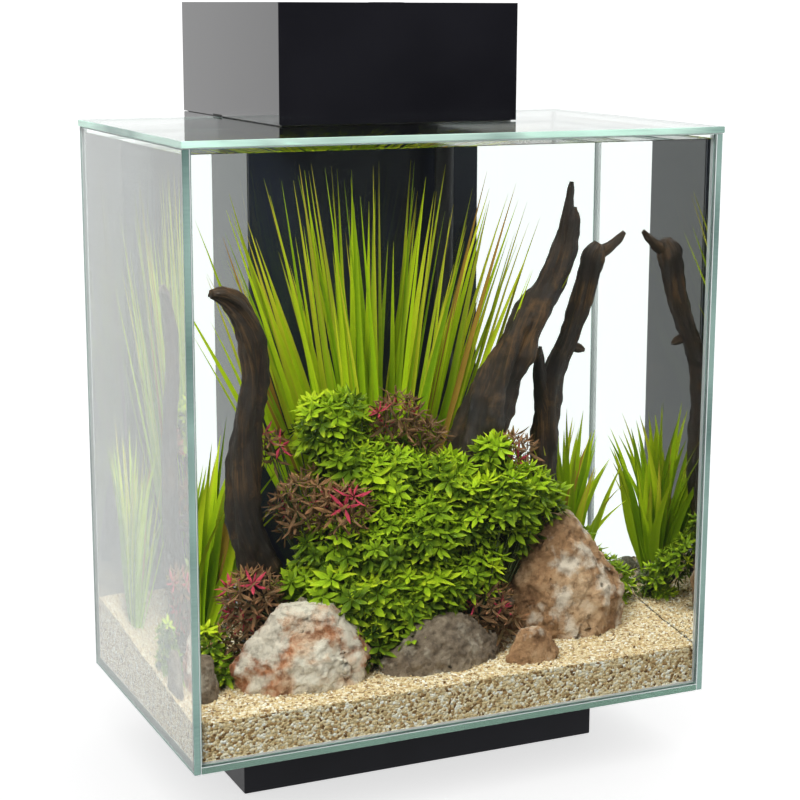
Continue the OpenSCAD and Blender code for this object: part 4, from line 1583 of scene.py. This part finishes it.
def leaf_head(leaves: int, broad: float) -> tuple[list[Vector], list[tuple[int, ...]], list[float]]:
    """Model one head of pointed leaves around +Z, one unit in radius.

    Args:
        leaves: leaves around the head.
        broad: a leaf's width as a share of its length.

    Returns:
        The corners, the faces, and how far along its leaf each corner lies.
    """
    corners: list[Vector] = []
    faces: list[tuple[int, ...]] = []
    along: list[float] = []
    for index in range(leaves):
        inner = index >= leaves - 3
        angle = index * math.tau / (leaves - 3) if not inner else index * 2.1 + 0.5
        lift = 0.95 if inner else 0.10 + 0.28 * (index % 2)
        length = 0.62 if inner else 1.0 - 0.12 * (index % 3)
        flat = math.cos(lift)
        outward = Vector((math.cos(angle) * flat, math.sin(angle) * flat, math.sin(lift)))
        side = Vector((-math.sin(angle), math.cos(angle), 0))
        upward = outward.cross(side) * -1
        first = len(corners)
        corners.append(outward * 0.04)
        along.append(0.0)
        for t, width in ((0.42, 1.0), (0.74, 0.66)):
            middle = outward * length * t + upward * 0.10 * length * math.sin(t * math.pi)
            half = side * length * broad / 2 * width
            crease = upward * -0.05 * width
            corners.extend((middle - half, middle + crease, middle + half))
            along.extend((t, t, t))
        corners.append(outward * length - UP * 0.05 * length)
        along.append(1.0)
        faces.extend(
            (
                (first, first + 1, first + 2),
                (first, first + 2, first + 3),
                (first + 1, first + 4, first + 5, first + 2),
                (first + 2, first + 5, first + 6, first + 3),
                (first + 4, first + 7, first + 5),
                (first + 5, first + 7, first + 6),
            )
        )
    return corners, faces, along


@dataclass
class Planting:
    """All the plants in the tank."""

    def build(self) -> None:
        """Make the grasses, the bushes and the sprigs."""
        for clump in self.grasses():
            clump.build()
        for plant in self.bushes():
            plant.build()

    @staticmethod
    def grasses() -> list[GrassClump]:
        """The three grass clumps."""
        tall = GrassClump(
            node="tall_grass", foot=mm(-15, 56, 100), foot_radius=28 * MM, blades=130,
            length=mm(270, 392), width=mm(4.5, 8.5),
            reach=mm(128, 138, 40, 34), arch=0.10, ripe=0.55, seed=21,
        )
        right = GrassClump(
            node="grass_right", foot=mm(160, 78, 106), foot_radius=12 * MM, blades=60,
            length=mm(95, 172), width=mm(6, 11),
            reach=mm(74, 34, 62, 34), arch=0.5, ripe=0.3, seed=22,
        )
        left = GrassClump(
            node="grass_left", foot=mm(-168, 58, 102), foot_radius=12 * MM, blades=60,
            length=mm(110, 190), width=mm(6, 11),
            reach=mm(26, 66, 60, 44), arch=0.45, ripe=0.3, seed=23,
        )
        return [tall, right, left]

    @staticmethod
    def bushes() -> list[LeafyPlant]:
        """The two bushes and the sprigs beside them."""
        bush = LeafyPlant(
            node="leafy_bush", foot=mm(-50, -10, 104), seed=31,
            mounds=[
                Mound(-70, -4, 280, 28), Mound(-58, -14, 246, 28), Mound(-28, -22, 236, 32),
                Mound(-40, -40, 190, 34),
                Mound(-74, -34, 190, 30), Mound(-6, -44, 196, 32), Mound(-78, -52, 152, 28),
                Mound(-40, -54, 148, 30), Mound(-4, -50, 154, 30), Mound(14, -34, 228, 26),
                Mound(-98, -26, 158, 22), Mound(-60, -64, 120, 18), Mound(-22, -64, 118, 20),
                Mound(-18, -6, 280, 20, True), Mound(-96, -20, 222, 26, True),
                Mound(-76, -50, 222, 20, True), Mound(-122, -4, 268, 13, True),
                Mound(-148, -40, 160, 22, True), Mound(-158, -44, 128, 18, True),
                Mound(4, -8, 262, 16, True),
            ],
        )
        right = LeafyPlant(
            node="leafy_bush_right", foot=mm(40, -38, 100), seed=32,
            mounds=[
                Mound(34, -46, 206, 28), Mound(62, -46, 214, 26), Mound(86, -40, 218, 20),
                Mound(34, -48, 164, 26), Mound(76, -40, 190, 18), Mound(104, -36, 206, 13),
                Mound(44, -56, 134, 20, True), Mound(56, -60, 118, 15, True),
                Mound(78, -22, 248, 16, True), Mound(58, -30, 252, 13),
            ],
        )
        sprigs = LeafyPlant(
            node="sprigs", foot=mm(190, 10, 104), seed=33, head=12 * MM,
            mounds=[
                Mound(178, 4, 132, 14), Mound(194, 10, 120, 12), Mound(164, 4, 146, 10),
                Mound(150, 6, 160, 11), Mound(186, 12, 104, 12),
            ],
        )
        return [bush, right, sprigs, Planting.left_sprig()]

    @staticmethod
    def left_sprig() -> LeafyPlant:
        """The low green tuft beside the left branch."""
        return LeafyPlant(
            node="sprigs", name="sprigs_left",
            foot=mm(-182, -28, 94), seed=34, head=12 * MM,
            mounds=[Mound(-184, -40, 128, 15), Mound(-174, -48, 110, 14), Mound(-190, -34, 108, 11)],
        )


@dataclass
class Studio:
    """The camera, the lights, the surroundings and the floor."""

    eye: Place = (-0.6071, -1.3384, 0.5949)
    pitch_down: float = 11.86
    yaw: float = 24.53
    roll: float = -0.2
    lens: float = 84.67
    floor_reach: float = 9.0
    room_light: float = 0.55
    backdrop: float = 1.15
    dim_side: float = 0.02

    def build(self) -> None:
        """Set everything up."""
        self.camera()
        self.floor()
        self.surroundings()
        self.softbox("key_light", (-1.3, -1.5, 1.9), (0, 0, 0.3), 1.3, 74)
        self.softbox("fill_light", (1.5, -1.5, 1.2), (0, 0, 0.3), 1.2, 20)
        self.softbox("top_light", (0.1, -0.1, 2.6), (0, 0, 0.3), 1.4, 62)
        self.rendering()

    def camera(self) -> None:
        """Place the camera."""
        data = bpy.data.cameras.new("camera")
        data.lens = self.lens
        data.sensor_width = 36
        camera = bpy.data.objects.new("camera", data)
        camera.location = self.eye
        camera.rotation_euler = (
            math.radians(90 - self.pitch_down), math.radians(self.roll), math.radians(-self.yaw),
        )
        bpy.context.scene.collection.objects.link(camera)
        bpy.context.scene.camera = camera

    def softbox(self, name: str, place: Place, aim: Place, size: float, watts: float) -> None:
        """Hang one soft square light.

        Args:
            name: the light's name.
            place: where it hangs.
            aim: the point that it faces.
            size: its side.
            watts: its power.
        """
        data = bpy.data.lights.new(name, "AREA")
        data.shape = "SQUARE"
        data.size = size
        data.energy = watts
        light = bpy.data.objects.new(name, data)
        light.location = place
        light.rotation_euler = (Vector(aim) - Vector(place)).to_track_quat("-Z", "Y").to_euler()
        light.visible_camera = False
        light.visible_glossy = False
        light.light_linking.receiver_collection = self.unlit_floor()
        bpy.context.scene.collection.objects.link(light)

    @staticmethod
    def unlit_floor() -> bpy.types.Collection:
        """The collection that keeps the softboxes off the floor, so that it stays evenly pale."""
        name = "unlit_by_softboxes"
        found = bpy.data.collections.get(name)
        if found:
            return found
        unlit = bpy.data.collections.new(name)
        unlit.objects.link(bpy.data.objects["studio_floor"])
        unlit.collection_objects[0].light_linking.link_state = "EXCLUDE"
        return unlit

    def surroundings(self) -> None:
        """Make a white room whose mirror image is dim on the side that the front pane faces."""
        world = bpy.data.worlds.new("studio")
        world.use_nodes = True
        tree = world.node_tree
        tree.nodes.clear()

        def add(kind: str, **inputs: Socket | float) -> bpy.types.Node:
            """Add a node and wire or set its inputs."""
            node = tree.nodes.new("ShaderNode" + kind)
            for key, value in inputs.items():
                socket = node.inputs[key.replace("_", " ")]
                if isinstance(value, Socket):
                    tree.links.new(value, socket)
                else:
                    socket.default_value = value
            return node

        where = add("TexCoord").outputs["Generated"]
        depth = add("SeparateXYZ", Vector=where).outputs["Y"]
        mirror = add(
            "MapRange", Value=depth, From_Min=-0.45, From_Max=0.25, To_Min=self.dim_side, To_Max=1.0
        ).outputs[0]
        ray = add("LightPath")
        seen = tree.nodes.new("ShaderNodeMath")
        seen.operation = "MAXIMUM"
        tree.links.new(ray.outputs["Is Camera Ray"], seen.inputs[0])
        tree.links.new(ray.outputs["Is Transmission Ray"], seen.inputs[1])
        plain = add(
            "MapRange", Value=seen.outputs[0], To_Min=self.room_light, To_Max=self.backdrop
        ).outputs[0]
        mirrored = tree.nodes.new("ShaderNodeMix")
        tree.links.new(ray.outputs["Glossy Depth"], mirrored.inputs[0])
        tree.links.new(plain, mirrored.inputs[2])
        tree.links.new(mirror, mirrored.inputs[3])
        sky = add("Background", Strength=mirrored.outputs[0])
        sky.inputs["Color"].default_value = (1, 1, 1, 1)
        output = add("OutputWorld")
        tree.links.new(sky.outputs[0], output.inputs["Surface"])
        bpy.context.scene.world = world

    def floor(self) -> None:
        """Lay the seamless floor."""
        bpy.ops.object.select_all(action="DESELECT")
        bpy.ops.mesh.primitive_circle_add(vertices=96, radius=self.floor_reach, fill_type="NGON")
        floor = bpy.context.object
        floor.name = floor.data.name = "studio_floor"
        bpy.ops.object.mode_set(mode="EDIT")
        bpy.ops.mesh.select_all(action="SELECT")
        bpy.ops.mesh.inset(thickness=self.floor_reach / 2)
        bpy.ops.object.mode_set(mode="OBJECT")
        floor.data.materials.append(PAPER.material())

    @staticmethod
    def rendering() -> None:
        """Let enough bounces through the glass and the water."""
        scene = bpy.context.scene
        scene.view_settings.view_transform = "Standard"
        scene.cycles.max_bounces = 18
        scene.cycles.transmission_bounces = 16
        scene.cycles.glossy_bounces = 8
        scene.cycles.diffuse_bounces = 3
        scene.cycles.transparent_max_bounces = 24
        scene.cycles.caustics_reflective = False
        scene.cycles.caustics_refractive = False
        scene.cycles.sample_clamp_indirect = 6


def main() -> None:
    """Build the aquarium in order, from the stand up."""
    logging.basicConfig(level=logging.INFO, format="%(asctime)s %(name)s %(message)s")
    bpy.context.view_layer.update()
    noise.seed_set(5)
    for assembly in (
        Studio(),
        Stand(),
        GlassTank(),
        LampHood(),
        FilterColumn(),
        HangOnFilter(),
        GravelBed(),
        Stones(),
        Driftwood(),
        Planting(),
    ):
        assembly.build()
        LOG.info("%s is ready", type(assembly).__name__)


if __name__ == "__main__":
    main()
